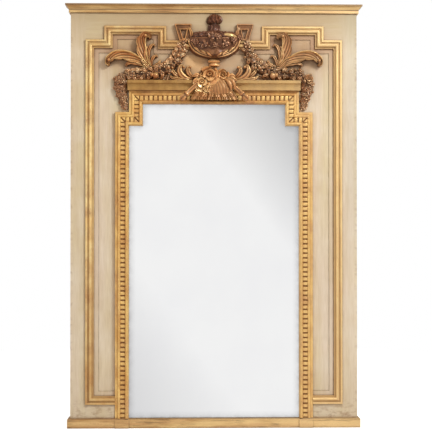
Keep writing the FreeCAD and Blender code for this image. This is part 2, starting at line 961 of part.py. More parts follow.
def backing_planks():
    """The boards behind the plate: equal full planks and a narrow one at the stepped head."""
    count = int(cell.plank_count.value)
    pitch = (glass_step - glass_foot) / count
    thick = glass_back - cell.chassis_depth
    half, narrow_half = glass_half - cell.plank_end_room, glass_top_half - cell.plank_end_room
    outlines = []
    for number in range(count):
        foot = glass_foot + pitch * number
        outlines.append(rectangle(-half, foot, half, foot + pitch - cell.plank_gap))
    outlines.append(rectangle(-narrow_half, glass_step, narrow_half, glass_top))
    planks = []
    for number, outline in enumerate(outlines, start=1):
        planks.append(board(f"backing_plank_{number}", outline, cell.chassis_depth, thick))
    return group("backing_planks", planks)


# ---------------------------------------------------------------- hangers

def at_hanger(item, side):
    """Puts a piece drawn round the barrel's axis in its place."""
    bind(item, "Placement.Base.x", hanger_across * side)
    bind(item, "Placement.Base.z", hanger_level)
    at_depth(item, cell.rail_recess - cell.barrel_off)


def hanger_strap(side_name, side):
    """A steel strap with its upper end rolled into a barrel for the ring."""
    body = new_body(f"hanger_strap_{side_name}")
    rail, top = -cell.barrel_off, cell.barrel_radius
    plate = rectangle(rail, -cell.strap_length, rail + cell.strap_thick, top)
    web = rectangle(rail, top - cell.strap_thick, 0, top)
    for sketch in (new_sketch(body, "YZ_Plane", [plate]),
                   new_sketch(body, "YZ_Plane", circles=[(0, 0, top)]),
                   new_sketch(body, "YZ_Plane", [web])):
        pad(body, sketch, cell.strap_width, "Symmetric")
    bore = new_sketch(body, "YZ_Plane", circles=[(0, 0, cell.wire_radius + cell.wire_play)])
    pocket(body, bore, cell.strap_width * 2, "Symmetric")
    radius = cell.screw_radius + cell.screw_play
    holes = []
    for row_number in range(2):
        holes.append((0, -cell.screw_first - cell.screw_pitch * row_number, radius))
    pocket(body, new_sketch(body, "XZ_Plane", circles=holes), cell.barrel_off * 4, "Symmetric")
    at_hanger(body, side)
    return body


def hanger_ring(side_name, side):
    """A D-shaped ring of round wire, its straight bar lying in the barrel."""
    bow = doc.addObject("Part::Torus", f"ring_bow_{side_name}")
    bind(bow, "Radius1", cell.ring_radius)
    bind(bow, "Radius2", cell.wire_radius)
    bow.Angle3 = 180
    bow.Placement = FreeCAD.Placement(FreeCAD.Vector(), FreeCAD.Rotation(FreeCAD.Vector(1, 0, 0), -90))
    bar = doc.addObject("Part::Cylinder", f"ring_bar_{side_name}")
    bind(bar, "Radius", cell.wire_radius)
    bind(bar, "Height", cell.ring_radius * 2)
    bar.Placement = FreeCAD.Placement(FreeCAD.Vector(), FreeCAD.Rotation(FreeCAD.Vector(0, 1, 0), 90))
    bind(bar, "Placement.Base.x", -cell.ring_radius)
    pieces = [bow, bar]
    for end in (-1, 1):
        knuckle = doc.addObject("Part::Sphere", f"ring_corner_{side_name}")
        bind(knuckle, "Radius", cell.wire_radius)
        bind(knuckle, "Placement.Base.x", cell.ring_radius * end)
        pieces.append(knuckle)
    ring = fused(f"hanger_ring_{side_name}", pieces)
    at_hanger(ring, side)
    return ring


def hanger_screws():
    """Round-headed screws through the straps into the hanging rail."""
    screws = []
    for across, level in hanger_screw_places():
        body = new_body(f"hanger_screw_{len(screws) + 1}")
        shank = new_sketch(body, "XZ_Plane", circles=[(across, level, cell.screw_radius)])
        pad(body, shank, cell.screw_length)
        head = new_sketch(body, "XZ_Plane", circles=[(across, level, cell.screw_head_radius)])
        pad(body, head, cell.screw_head).Reversed = True
        at_depth(body, cell.rail_recess - cell.strap_thick)
        screws.append(body)
    return group("hanger_screws", screws)


# ---------------------------------------------------------------- carving

def fused(label, pieces):
    whole = doc.addObject("Part::MultiFuse", label)
    whole.Shapes = pieces
    whole.Refine = False
    return whole


def block(label, low, high):
    """A box from low to high, each (across, depth from the wall, level)."""
    box = doc.addObject("Part::Box", label)
    bind(box, "Length", high[0] - low[0])
    bind(box, "Width", high[1] - low[1])
    bind(box, "Height", high[2] - low[2])
    bind(box, "Placement.Base.x", low[0])
    bind(box, "Placement.Base.y", wall - high[1])
    bind(box, "Placement.Base.z", low[2])
    return box


def carving_bed():
    """All that the carving is scribed over: the field, its border, the gilt bars and the cap."""
    room, half, top = cell.carving_room, half_body, cell.body_height
    low = sight_step_level - cell.cap_rise
    back = -cell.carving_front
    cross, bar = crossbar_level, top_bar_level
    width, gilt = cell.gilt_width, gilt_front + room
    riser = (cell.crossbar_half - room, crossbar_inner + room)
    spans = [
        ((-half, back, low), (half, field_front, top)),
        ((-crossbar_inner, back, cross - field_inset), (crossbar_inner, panel_front, cross)),
        ((-half, back, field_top), (half, panel_front, bar)),
        ((-cell.crossbar_half, back, cross), (cell.crossbar_half, face_front, top)),
        ((-crossbar_inner, back, cross - width - room), (crossbar_inner, gilt, cross + room)),
        ((riser[0], back, cross - width), (riser[1], gilt, bar + room)),
        ((-riser[1], back, cross - width), (-riser[0], gilt, bar + room)),
        ((riser[0], back, bar - width - room), (half, gilt, bar + room)),
        ((-half, back, bar - width - room), (-riser[0], gilt, bar + room)),
        ((-cap_half - room, back, low), (cap_half + room, cell.cap_front + room, cap_top + room)),
    ]
    blocks = []
    for number, (start, end) in enumerate(spans, start=1):
        blocks.append(block(f"bed_block_{number}", start, end))
    return fused("carving_bed", blocks)


def scribed(label, rough, bed):
    """Takes away from a rough carving whatever it is scribed over."""
    cut = doc.addObject("Part::Cut", label)
    cut.Base = rough
    cut.Tool = bed
    cut.Refine = False
    return cut


def dome(label, across, depth, level, half_across, half_depth, half_level):
    """A whole ellipsoid: half_level is its half height."""
    solid = doc.addObject("Part::Ellipsoid", label)
    bind(solid, "Radius1", half_level)
    bind(solid, "Radius2", half_across)
    bind(solid, "Radius3", half_depth)
    solid.Angle1 = -90
    bind(solid, "Placement.Base.x", across)
    bind(solid, "Placement.Base.z", level)
    at_depth(solid, depth)
    return solid


def post(label, depth, foot, top, radius):
    solid = doc.addObject("Part::Cylinder", label)
    bind(solid, "Radius", radius)
    bind(solid, "Height", top - foot)
    bind(solid, "Placement.Base.z", foot)
    at_depth(solid, depth)
    return solid


def urn_bowl(bed):
    """The lower half of the urn on its stem."""
    bowl = dome("bowl_round", 0, field_front, bowl_top, cell.bowl_half, cell.bowl_depth, cell.bowl_drop)
    bowl.Angle2 = 0
    stem = post("bowl_stem", field_front, stem_foot, bowl_top - cell.bowl_drop / 2, cell.foot_half)
    return scribed("urn_bowl", fused("bowl_whole", [bowl, stem]), bed)


def urn_lid(bed):
    """The urn's domed lid with its neck and bud, standing on the bowl against the face."""
    middle = face_front + cell.lid_stand
    lid = dome("lid_round", 0, middle, bowl_top, cell.lid_half, cell.lid_depth, cell.lid_rise)
    lid.Angle1 = 0
    neck = post("lid_neck", middle, bowl_top, neck_top, cell.neck_half)
    bud = dome("lid_bud", 0, middle, bud_level, cell.bud_half, cell.bud_half, cell.bud_rise)
    return scribed("urn_lid", fused("lid_whole", [lid, neck, bud]), bed)


def urn_handle(side_name, side):
    """An angular handle standing on the bowl's rim: wide at the top, narrow at the foot."""
    body = new_body(f"urn_handle_{side_name}")
    foot, top, bar = bowl_top, bowl_top + cell.handle_rise, cell.handle_bar
    outline = [
        (cell.handle_foot_inner, foot),
        (cell.handle_foot_outer, foot),
        (cell.handle_outer, top),
        (cell.handle_inner, top),
    ]
    middle = (cell.handle_foot_inner + cell.handle_foot_outer) / 2
    eye = [
        (middle - bar / 4, foot + bar),
        (middle + bar / 4, foot + bar),
        (cell.handle_outer - bar * 1.4, top - bar),
        (cell.handle_inner + bar * 1.4, top - bar),
    ]
    sketch = new_sketch(body, "XZ_Plane", [on_side(side, outline), on_side(side, eye)])
    pad(body, sketch, cell.handle_depth)
    at_depth(body, face_front)
    return body


def rose_bouquet(bed):
    """Roses, a shell and a fringe on one ground, lapping over the cap."""
    front, seat = cell.carving_front - field_front, cell.cap_front
    ground = doc.addObject("Part::Cylinder", "bouquet_ground")
    bind(ground, "Radius", cell.ground_half)
    bind(ground, "Height", seat + cell.ground_depth - field_front)
    ground.Placement = FreeCAD.Placement(FreeCAD.Vector(), FreeCAD.Rotation(FreeCAD.Vector(1, 0, 0), 90))
    ground_level = cap_top - cell.ground_drop
    bind(ground, "Placement.Base.z", ground_level)
    at_depth(ground, field_front)
    half = cell.rose_half
    rose = dome("big_rose", -cell.rose_off, field_front, rose_level, half, front, half)
    half = cell.second_rose_half
    reach = front - cell.second_rose_back
    second = dome("second_rose", cell.second_rose_off, field_front, rose_level, half, reach, half)
    half = cell.shell_half
    level = cap_top - cell.shell_drop
    shell = dome("shell", cell.shell_off, seat, level, half, cell.bloom_depth, half)
    half = cell.small_rose_half
    level = cap_top - cell.small_rose_drop
    small = dome("small_rose", -cell.small_rose_off, seat, level, half, cell.bloom_depth, half)
    fan_foot = cap_top - cell.fan_drop
    fringe = board("bouquet_fringe", [
        (-cell.fan_half_top, ground_level),
        (-cell.fan_half_foot, fan_foot),
        (cell.fan_half_foot, fan_foot),
        (cell.fan_half_top, ground_level),
    ], seat, cell.fan_depth)
    whole = fused("bouquet_whole", [ground, rose, second, shell, small, fringe])
    return scribed("rose_bouquet", whole, bed)


def torches():
    """The two torch ends that lean out from under the bouquet, over the cap."""
    cones = []
    for side_name, side in SIDES:
        cone = doc.addObject("Part::Cone", f"torch_{side_name}")
        bind(cone, "Radius1", cell.torch_thin)
        bind(cone, "Radius2", cell.torch_thick)
        bind(cone, "Height", cell.torch_length)
        axis = FreeCAD.Vector(0, side, 0)
        cone.Placement = FreeCAD.Placement(FreeCAD.Vector(), FreeCAD.Rotation(axis, 90))
        bind(cone, "Placement.Rotation.Angle", cell.torch_lean + 90)
        bind(cone, "Placement.Base.x", cell.torch_start * side)
        bind(cone, "Placement.Base.z", cap_top - cell.torch_drop)
        at_depth(cone, cell.cap_front + cell.carving_room + cell.torch_thin)
        cones.append(cone)
    return group("torches", cones)


def scroll(side_name, side):
    """A leafy scroll that rises from the cap beside the bouquet."""
    foot, near, far = cap_top + cell.carving_room, cell.scroll_near, cell.scroll_reach
    peak, top = (near + far) / 2, cap_top + cell.scroll_rise
    outline = [
        (near, foot),
        (far, foot),
        (peak, top, far - near, -1),
        (near + cell.leaf_depth / 2, top - cell.leaf_depth / 2),
    ]
    return board(f"scroll_{side_name}", on_side(side, outline), field_front, cell.leaf_depth)


def garland_path():
    """The (across, level) of the garland's two ends and, between them, of the point it turns to."""
    return (
        (cell.garland_start, bowl_top - cell.garland_drop),
        (cell.garland_turn, cap_top + cell.garland_turn_rise),
        (sight_inner + cell.garland_end_off, cap_top + cell.garland_end_rise),
    )


def garland(side_name, side, bed):
    """A swag of round flowers from the urn to the head of the drop."""
    head, turn, end = garland_path()
    widest = math.hypot((end[0] - turn[0]).value, (end[1] - turn[1]).value) * 2
    count = math.ceil(widest / cell.flower_pitch.value) + 1
    flowers = []
    for number in range(count):
        share = number / (count - 1)
        first, middle, last = (1 - share) ** 2, 2 * share * (1 - share), share**2
        across = head[0] * first + turn[0] * middle + end[0] * last
        level = head[1] * first + turn[1] * middle + end[1] * last
        flower = doc.addObject("Part::Sphere", f"flower_{side_name}")
        bind(flower, "Radius", cell.flower_size)
        bind(flower, "Placement.Base.x", across * side)
        bind(flower, "Placement.Base.z", level)
        at_depth(flower, field_front + cell.flower_stand)
        flowers.append(flower)
    return scribed(f"garland_{side_name}", fused(f"garland_whole_{side_name}", flowers), bed)


def drop(side_name, side, bed):
    """The tapering bunch that hangs beside the stepped corner of the sight moulding."""
    foot, top = sight_step_level + cell.drop_room, cap_top + cell.drop_rise
    cone = doc.addObject("Part::Cone", f"drop_cone_{side_name}")
    bind(cone, "Radius1", cell.drop_tip)
    bind(cone, "Radius2", cell.drop_half)
    bind(cone, "Height", top - foot)
    bind(cone, "Placement.Base.x", (sight_inner + cell.drop_off) * side)
    bind(cone, "Placement.Base.z", foot)
    at_depth(cone, field_front)
    return scribed(f"drop_{side_name}", cone, bed)


def acanthus(side_name, side, bed):
    """Two leaves from one root: one rises and curls over, one reaches outwards."""
    body = new_body(f"acanthus_blank_{side_name}")
    head, _, end = garland_path()
    root, level, half = (head[0] + end[0]) / 2 + cell.root_off, cap_top + cell.root_rise, cell.root_half
    tall_across, tall_level = root + cell.tall_off, level + cell.tall_rise
    reach_across, reach_level = gilt_inner - cell.reach_room, level + cell.reach_rise
    rising = [
        (root - half, level),
        (root + half, level),
        (tall_across + cell.curl_half, tall_level, cell.tall_rise, 1),
        (tall_across - cell.curl_half, tall_level),
    ]
    reaching = [
        (root, level + half),
        (reach_across, reach_level, (reach_across - root) * 0.61, -1),
        (root + half, level, (reach_across - root) * 0.8, 1),
    ]
    curls = [
        (tall_across * side, tall_level, cell.curl_half),
        (reach_across * side, reach_level, cell.tip_half),
    ]
    for sketch in (new_sketch(body, "XZ_Plane", [on_side(side, rising)]),
                   new_sketch(body, "XZ_Plane", [on_side(side, reaching)]),
                   new_sketch(body, "XZ_Plane", circles=[curls[0]]),
                   new_sketch(body, "XZ_Plane", circles=[curls[1]])):
        pad(body, sketch, cell.leaf_depth)
    at_depth(body, field_front)
    return scribed(f"acanthus_{side_name}", body, bed)


# ---------------------------------------------------------------- build

def sided_sub_parts(side_name, side, bed):
    """Every sub-part that the mirror has once on each side."""
    return [
        back_stile(side_name, side),
        inner_stile(side_name, side),
        face_stile(side_name, side),
        panel_side(side_name, side),
        *gilt_side(side_name, side),
        *sight_side(side_name, side),
        hanger_strap(side_name, side),
        hanger_ring(side_name, side),
        urn_handle(side_name, side),
        scroll(side_name, side),
        garland(side_name, side, bed),
        drop(side_name, side, bed),
        acanthus(side_name, side, bed),
    ]


def all_sub_parts():
    bed = carving_bed()
    sub_parts = [
        back_bottom_rail(),
        hanging_rail(),
        back_top_rail(),
        face_top_rail(),
        face_bottom_rail(),
        panel_top(),
        gilt_crossbar(),
        sight_head(),
        cap(),
        *cornice(),
        *base_rail(),
        plinth_blocks(),
        mirror_plate(),
        backing_planks(),
        hanger_screws(),
        urn_bowl(bed),
        urn_lid(bed),
        rose_bouquet(bed),
        torches(),
    ]
    for side_name, side in SIDES:
        sub_parts += sided_sub_parts(side_name, side, bed)
    return sub_parts


def check(sub_parts):
    """Stops if any object failed to build or any sub-part has no sound shape."""
    failed = [item.Label for item in doc.Objects if {"Invalid", "Error"} & set(item.State)]
    unsound = [item.Label for item in sub_parts if item.Shape.isNull() or not item.Shape.isValid()]
    if failed or unsound:
        raise SystemExit(f"failed: {failed}, unsound: {unsound}")


def export(sub_parts):
    os.makedirs("parts", exist_ok=True)
    for item in sub_parts:
        item.Shape.exportStep(f"parts/{item.Label}.step")
        box = item.Shape.BoundBox
        size = f"{box.XLength:.1f} x {box.YLength:.1f} x {box.ZLength:.1f}"
        print(f"{item.Label}: {len(item.Shape.Solids)} solid(s), {size} mm")


sub_parts = all_sub_parts()
doc.recompute()
check(sub_parts)
export(sub_parts)
print(len(sub_parts), "sub-parts")
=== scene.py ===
# %% [markdown]
# # An overmantel mirror in cream paint and gilding
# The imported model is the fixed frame: every board, moulding and hanger stands where it has to be.
# This lesson dresses it. The flat joinery keeps its shape and gets its finishes, and the plain
# carving blocks are swapped for real carving, made leaf by leaf with bmesh operators.

# %% Load the frame
import math
import random

import bmesh
import bpy
from mathutils import Matrix, Vector


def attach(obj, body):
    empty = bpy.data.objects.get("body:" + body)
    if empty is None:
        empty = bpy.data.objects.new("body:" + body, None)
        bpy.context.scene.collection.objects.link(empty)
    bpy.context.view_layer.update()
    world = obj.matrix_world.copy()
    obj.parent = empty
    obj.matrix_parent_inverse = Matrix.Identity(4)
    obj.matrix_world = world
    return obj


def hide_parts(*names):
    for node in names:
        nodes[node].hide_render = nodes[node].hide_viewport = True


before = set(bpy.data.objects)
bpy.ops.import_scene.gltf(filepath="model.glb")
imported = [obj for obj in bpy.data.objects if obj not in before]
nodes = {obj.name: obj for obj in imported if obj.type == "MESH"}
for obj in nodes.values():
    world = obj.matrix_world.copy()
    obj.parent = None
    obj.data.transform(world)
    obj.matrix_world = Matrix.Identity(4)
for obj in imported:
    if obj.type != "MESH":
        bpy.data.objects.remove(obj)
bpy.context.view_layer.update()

scene = bpy.context.scene

# %% [markdown]
# ## Viewpoint, lamps and floor
# A tall flat piece is shown best from some way off with a long lens, so that its uprights stay
# parallel. The eye stands a hand's width left of the middle.

# %% Camera
EYE = Vector((-0.12, -5.0, 0.8))
AIM = Vector((0.0079, 0.0, 0.8737))
FRAME_WIDTH = 1.7885  # metres that the frame spans at the face of the mirror

camera_data = bpy.data.cameras.new("viewpoint")
camera_data.sensor_width = 36
camera_data.lens = 36 * (AIM - EYE).length / FRAME_WIDTH
camera = bpy.data.objects.new("viewpoint", camera_data)
camera.location = EYE
camera.rotation_euler = (AIM - EYE).to_track_quat("-Z", "Y").to_euler()
scene.collection.objects.link(camera)
scene.camera = camera
scene.view_settings.view_transform = "Standard"
print("lens", round(camera_data.lens, 1), "mm")

# %% [markdown]
# Shader trees are easier to read when a node, its settings and its links are one call. The helpers
# find the tree they work in from the sockets they are given. Sums are clamped to 0..1 at each step,
# because nearly all of them are masks.

# %% Node helpers
def fill(node, inputs):
    """Sets inputs from values, sockets, or nodes, which stand for their first output."""
    for name, value in inputs.items():
        if isinstance(value, bpy.types.Node):
            value = value.outputs[0]
        if isinstance(value, bpy.types.NodeSocket):
            node.id_data.links.new(value, node.inputs[name])
        else:
            node.inputs[name].default_value = value


def add_node(tree, kind, inputs=None, **settings):
    made = tree.nodes.new("ShaderNode" + kind)
    for name, value in settings.items():
        setattr(made, name, value)
    fill(made, inputs or {})
    return made


def maths(operation, *values):
    """Takes the values one by one from the left, clamped to 0..1 at each step."""
    tree = next(value.id_data for value in values if isinstance(value, bpy.types.NodeSocket))
    result = values[0]
    for value in values[1:]:
        result = add_node(tree, "Math", {0: result, 1: value}, operation=operation, use_clamp=True).outputs[0]
    return result


def times(*values):
    return maths("MULTIPLY", *values)


def plus(*values):
    return maths("ADD", *values)


def minus(*values):
    return maths("SUBTRACT", *values)


def most(*values):
    return maths("MAXIMUM", *values)


def away_from(place, value):
    """How far a value lies from a place on its axis."""
    gap = add_node(value.id_data, "Math", {0: value, 1: place}, operation="SUBTRACT")
    return maths("ABSOLUTE", gap.outputs[0], 0.0)


def spread(value, low, high, start=0.0, end=1.0):
    """Stretches a value from low..high to start..end."""
    inputs = {"Value": value, "From Min": low, "From Max": high, "To Min": start, "To Max": end}
    return add_node(value.id_data, "MapRange", inputs).outputs["Result"]


def line_at(value, place, half, strength):
    """Strength within half of a place on an axis, fading to none at twice that."""
    return spread(away_from(place, value), half, 2 * half, strength, 0.0)


def dot(vector, way):
    made = add_node(vector.id_data, "VectorMath", {0: vector, 1: way}, operation="DOT_PRODUCT")
    return made.outputs["Value"]


def axes_of(vector):
    return add_node(vector.id_data, "SeparateXYZ", {0: vector}).outputs


def stretched(vector, scale):
    return add_node(vector.id_data, "Mapping", {"Vector": vector, "Scale": scale}).outputs[0]


def noise(vector, scale, detail=2.0, roughness=0.5):
    inputs = {"Vector": vector, "Scale": scale, "Detail": detail, "Roughness": roughness}
    return add_node(vector.id_data, "TexNoise", inputs).outputs[0]


def relief(height, strength, distance):
    inputs = {"Height": height, "Strength": strength, "Distance": distance}
    return add_node(height.id_data, "Bump", inputs).outputs["Normal"]


def chart(red, green, blue):
    """A colour read off a paint chart as 0 to 255, turned into Blender's linear colour."""
    return (*[((value / 255 + 0.055) / 1.055) ** 2.4 for value in (red, green, blue)], 1.0)


def blend(factor, first, second):
    """Lays the second colour over the first, as much as the factor says. A tuple is a chart colour."""
    first, second = [chart(*shade) if isinstance(shade, tuple) else shade for shade in (first, second)]
    return add_node(factor.id_data, "Mix", {0: factor, 6: first, 7: second}, data_type="RGBA").outputs[2]


def lay(colour, *layers):
    """Lays each (factor, colour) over what is below it."""
    for factor, shade in layers:
        colour = blend(factor, colour, shade)
    return colour


def empty_tree(owner):
    owner.use_nodes = True
    owner.node_tree.nodes.clear()
    return owner.node_tree


# %% [markdown]
# Soft light comes from all round, with one broad lamp high on the right for the shadows that show
# carving. Glass and gilding reflect the studio itself, a pale wall with a soft diagonal fall of
# light, so what a mirror sees is set apart from what lights the wood.

# %% World and lamps
FALL_STOPS = (
    (0.09, (219, 219, 220)), (0.32, (249, 249, 249)), (0.66, (249, 249, 249)), (0.92, (190, 190, 190)),
)
WALL_FALL, WALL_START = (2.52, 0.0, 1.84), -0.469  # which way the light falls off, and where from
LAMPS_AIM = Vector((0, 0, 1.1))


def fall_of_light(value, start):
    """The studio's pale greys along the fall of the light, from start to one more."""
    ramp = add_node(value.id_data, "ValToRGB", {"Fac": spread(value, start, start + 1)})
    while len(ramp.color_ramp.elements) < len(FALL_STOPS):
        ramp.color_ramp.elements.new(0.5)
    for element, (place, colour) in zip(ramp.color_ramp.elements, FALL_STOPS):
        element.position, element.color = place, chart(*colour)
    return ramp.outputs["Color"]


def ray_masks(tree):
    """A mask of rays from the eye, straight or through glass, and one of mirrored rays."""
    path = add_node(tree, "LightPath").outputs
    return most(path["Is Camera Ray"], path["Is Transmission Ray"]), path["Is Glossy Ray"]


world = bpy.data.worlds.new("studio")
tree = empty_tree(world)
direct, mirrored = ray_masks(tree)
direction = add_node(tree, "TexCoord").outputs["Generated"]
greys = fall_of_light(dot(direction, WALL_FALL), WALL_START)
soft = add_node(tree, "Background", {"Color": chart(255, 251, 245), "Strength": 0.515})
wall = add_node(tree, "Background", {"Color": greys, "Strength": 1.0})
paper = add_node(tree, "Background", {"Color": chart(255, 255, 255), "Strength": 1.0})
seen = add_node(tree, "MixShader", {0: mirrored, 1: soft, 2: wall})
last = add_node(tree, "MixShader", {0: direct, 1: seen, 2: paper})
add_node(tree, "OutputWorld", {"Surface": last})
scene.world = world


def add_lamp(name, place, power, size, tint):
    lamp = bpy.data.lights.new(name, "AREA")
    lamp.energy, lamp.size, lamp.color = power, size, tint
    made = bpy.data.objects.new(name, lamp)
    made.location = place
    made.rotation_euler = (LAMPS_AIM - Vector(place)).to_track_quat("-Z", "Y").to_euler()
    scene.collection.objects.link(made)
    print(name, power, "W")


add_lamp("window", (2.0, -2.5, 3.2), 99, 1.0, (0.9, 0.96, 1.0))
add_lamp("fill", (-2.6, -3.4, 1.6), 16, 2.0, (1.0, 0.97, 0.92))

# %% [markdown]
# The floor is pale and keeps the shadow under the base rail. Glass sees it as the foot of the same
# wall, so no line shows where the two meet: for mirrored rays the floor glows with the wall's fall
# of light, a painted light.

# %% Floor
FLOOR_FALL, FLOOR_START = (0.39, -0.031, 0.0), -0.2456
FLOOR_GREY, FLOOR_GLOW = 0.84, 0.72
FLOOR_RADIUS, FLOOR_FORWARD = 2.6, 1.0

floor_paint = bpy.data.materials.new("floor_paint")
tree = empty_tree(floor_paint)
direct, mirrored = ray_masks(tree)
greys = fall_of_light(dot(add_node(tree, "TexCoord").outputs["Object"], FLOOR_FALL), FLOOR_START)
matt = add_node(tree, "BsdfDiffuse", {"Color": (FLOOR_GREY, FLOOR_GREY, FLOOR_GREY, 1.0)})
glow = add_node(tree, "Emission", {"Color": chart(255, 255, 255), "Strength": times(direct, FLOOR_GLOW)})
lit = add_node(tree, "AddShader", {0: matt, 1: glow})
# Painted light: what glass sees of the floor glows with the wall's greys.
seen = add_node(tree, "Emission", {"Color": greys, "Strength": 1.0})
both = add_node(tree, "MixShader", {0: mirrored, 1: lit, 2: seen})
add_node(tree, "OutputMaterial", {"Surface": both})

bm = bmesh.new()
bmesh.ops.create_circle(bm, cap_ends=True, segments=64, radius=FLOOR_RADIUS)
bmesh.ops.translate(bm, vec=(0, FLOOR_FORWARD, 0), verts=bm.verts)
floor_mesh = bpy.data.meshes.new("floor")
bm.to_mesh(floor_mesh)
bm.free()
floor_mesh.materials.append(floor_paint)
floor = bpy.data.objects.new("floor", floor_mesh)
scene.collection.objects.link(floor)
print("floor", 2 * FLOOR_RADIUS, "m across")

# %% [markdown]
# ## Effects that several finishes share
# An antique finish is made in layers, and age is mostly in where dirt stays and where hands rub.
# Brown glaze stays in hollows, which ambient occlusion finds; on the paint beside the carvings
# and on the glass by the mouldings this darkening is partly painted shade. Rubbing takes the
# edges, which occlusion traced inside the wood finds. Both are groups, so each finish can place
# them with its own reach.

# %% Group helpers
AO_RAYS = 6


def new_group(name, inputs, outputs):
    """A node group with its inputs (a number, or None for a vector) and the kinds of its outputs."""
    group = bpy.data.node_groups.new(name, "ShaderNodeTree")
    for label, value in inputs.items():
        kind = "NodeSocketVector" if value is None else "NodeSocketFloat"
        socket = group.interface.new_socket(label, in_out="INPUT", socket_type=kind)
        if value is not None:
            socket.default_value = value
    for label, kind in outputs.items():
        group.interface.new_socket(label, in_out="OUTPUT", socket_type="NodeSocket" + kind)
    entry = group.nodes.new("NodeGroupInput").outputs
    return group, entry, group.nodes.new("NodeGroupOutput")


def place_group(group, vector, **inputs):
    """Places a group in the tree of its vector and gives the outputs."""
    return add_node(vector.id_data, "Group", {"Vector": vector, **inputs}, node_tree=group).outputs


def shut_off(reach, **how):
    """How much of what surrounds a point within the reach is shut off, from 0 to 1."""
    made = add_node(reach.id_data, "AmbientOcclusion", {"Distance": reach}, samples=AO_RAYS, **how)
    return minus(1.0, made.outputs["AO"])


# %% Glaze in hollows, partly painted shade
hollow_glaze_and_shade, entry, leave = new_group(
    "hollow_glaze_and_shade", {"Vector": None, "Reach": 0.012, "Start": 0.12, "Full": 0.7}, {"Mask": "Float"}
)
wiped = spread(noise(entry["Vector"], 34.0, 5.0), 0.3, 0.65, 0.55, 1.0)
fill(leave, {"Mask": times(spread(shut_off(entry["Reach"]), entry["Start"], entry["Full"]), wiped)})


def glaze_and_shade(place, reach, start=0.12, full=0.7):
    """Where glaze or dirt lies, which in some finishes is partly painted shade: none at the start of
    occlusion, and all at full.
    """
    return place_group(hollow_glaze_and_shade, place, Reach=reach, Start=start, Full=full)["Mask"]


# %% Rubbed edges
rubbed_edges, entry, leave = new_group(
    "rubbed_edges", {"Vector": None, "Reach": 0.003, "Scale": 60.0}, {"Mask": "Float"}
)
edge = spread(shut_off(entry["Reach"], inside=True, only_local=True), 0.25, 0.8)
patchy = spread(noise(entry["Vector"], entry["Scale"], 6.0), 0.42, 0.62)
fill(leave, {"Mask": times(edge, patchy)})


def rubbed(place, reach, scale):
    return place_group(rubbed_edges, place, Reach=reach, Scale=scale)["Mask"]


# %% Brush streaks
brush_streaks, entry, leave = new_group(
    "brush_streaks", {"Vector": None}, {"Streaks": "Float", "Patches": "Float", "Hairs": "Float"}
)
for label, scale, detail, low, high in (
    ("Streaks", 1.0, 7.0, 0.35, 0.68), ("Patches", 0.22, 4.0, 0.38, 0.66), ("Hairs", 5.0, 3.0, 0.3, 0.7),
):
    fill(leave, {label: spread(noise(entry["Vector"], scale, detail), low, high)})

# %% [markdown]
# Pine shows as long wavering bands with a few knots. A wave texture bent by noise gives the bands,
# and the same vector, stretched along the board, gives the pores.

# %% Pine grain
pine_grain, entry, leave = new_group(
    "pine_grain", {"Vector": None}, {"Colour": "Color", "Bands": "Float", "Pores": "Float"}
)
wave = {"Vector": entry["Vector"], "Scale": 1.6, "Distortion": 4.5, "Detail": 3.0, "Detail Scale": 0.5}
bands = add_node(pine_grain, "TexWave", wave, bands_direction="DIAGONAL").outputs["Fac"]
pores = spread(noise(entry["Vector"], 30.0, 6.0), 0.35, 0.7)
colour = blend(maths("POWER", bands, 2.0), (196, 154, 104), (166, 118, 72))
colour = blend(times(pores, 0.35), colour, (124, 86, 50))
fill(leave, {"Colour": colour, "Bands": bands, "Pores": pores})
print([group.name for group in (hollow_glaze_and_shade, rubbed_edges, brush_streaks, pine_grain)])

# %% [markdown]
# ## Finishes
# A finish is one function when it comes in two directions, such as paint brushed up a stile and
# along a rail. The direction is only the stretch of the pattern. Each finds its masks first and
# then lays its layers in the order in which they went onto the wood.

# %% Start of a finish
def new_finish(name):
    """An empty material with its Principled shader and the piece's own coordinates."""
    finish = bpy.data.materials.new(name)
    tree = empty_tree(finish)
    shader = add_node(tree, "BsdfPrincipled")
    add_node(tree, "OutputMaterial", {"Surface": shader})
    return finish, shader, add_node(tree, "TexCoord").outputs["Object"]


# %% [markdown]
# The cream paint is two brushed coats, a grey-pink one over a yellower one, under a brown glaze
# that was wiped off while wet. It stays along the mouldings and in the corners, and it is
# heavier towards the top, where dust has settled. Beside the carvings its broad darkening is
# partly painted shade. A lighter patch left of the urn is painted light where the urn's shadow
# falls, and the case's outer edges are tinted warm on the left and grey on the right as painted
# light. The backs of the boards are left bare.

# %% Cream paint
PANEL_STEP = 0.0055  # the depth at which a panel's field meets its border


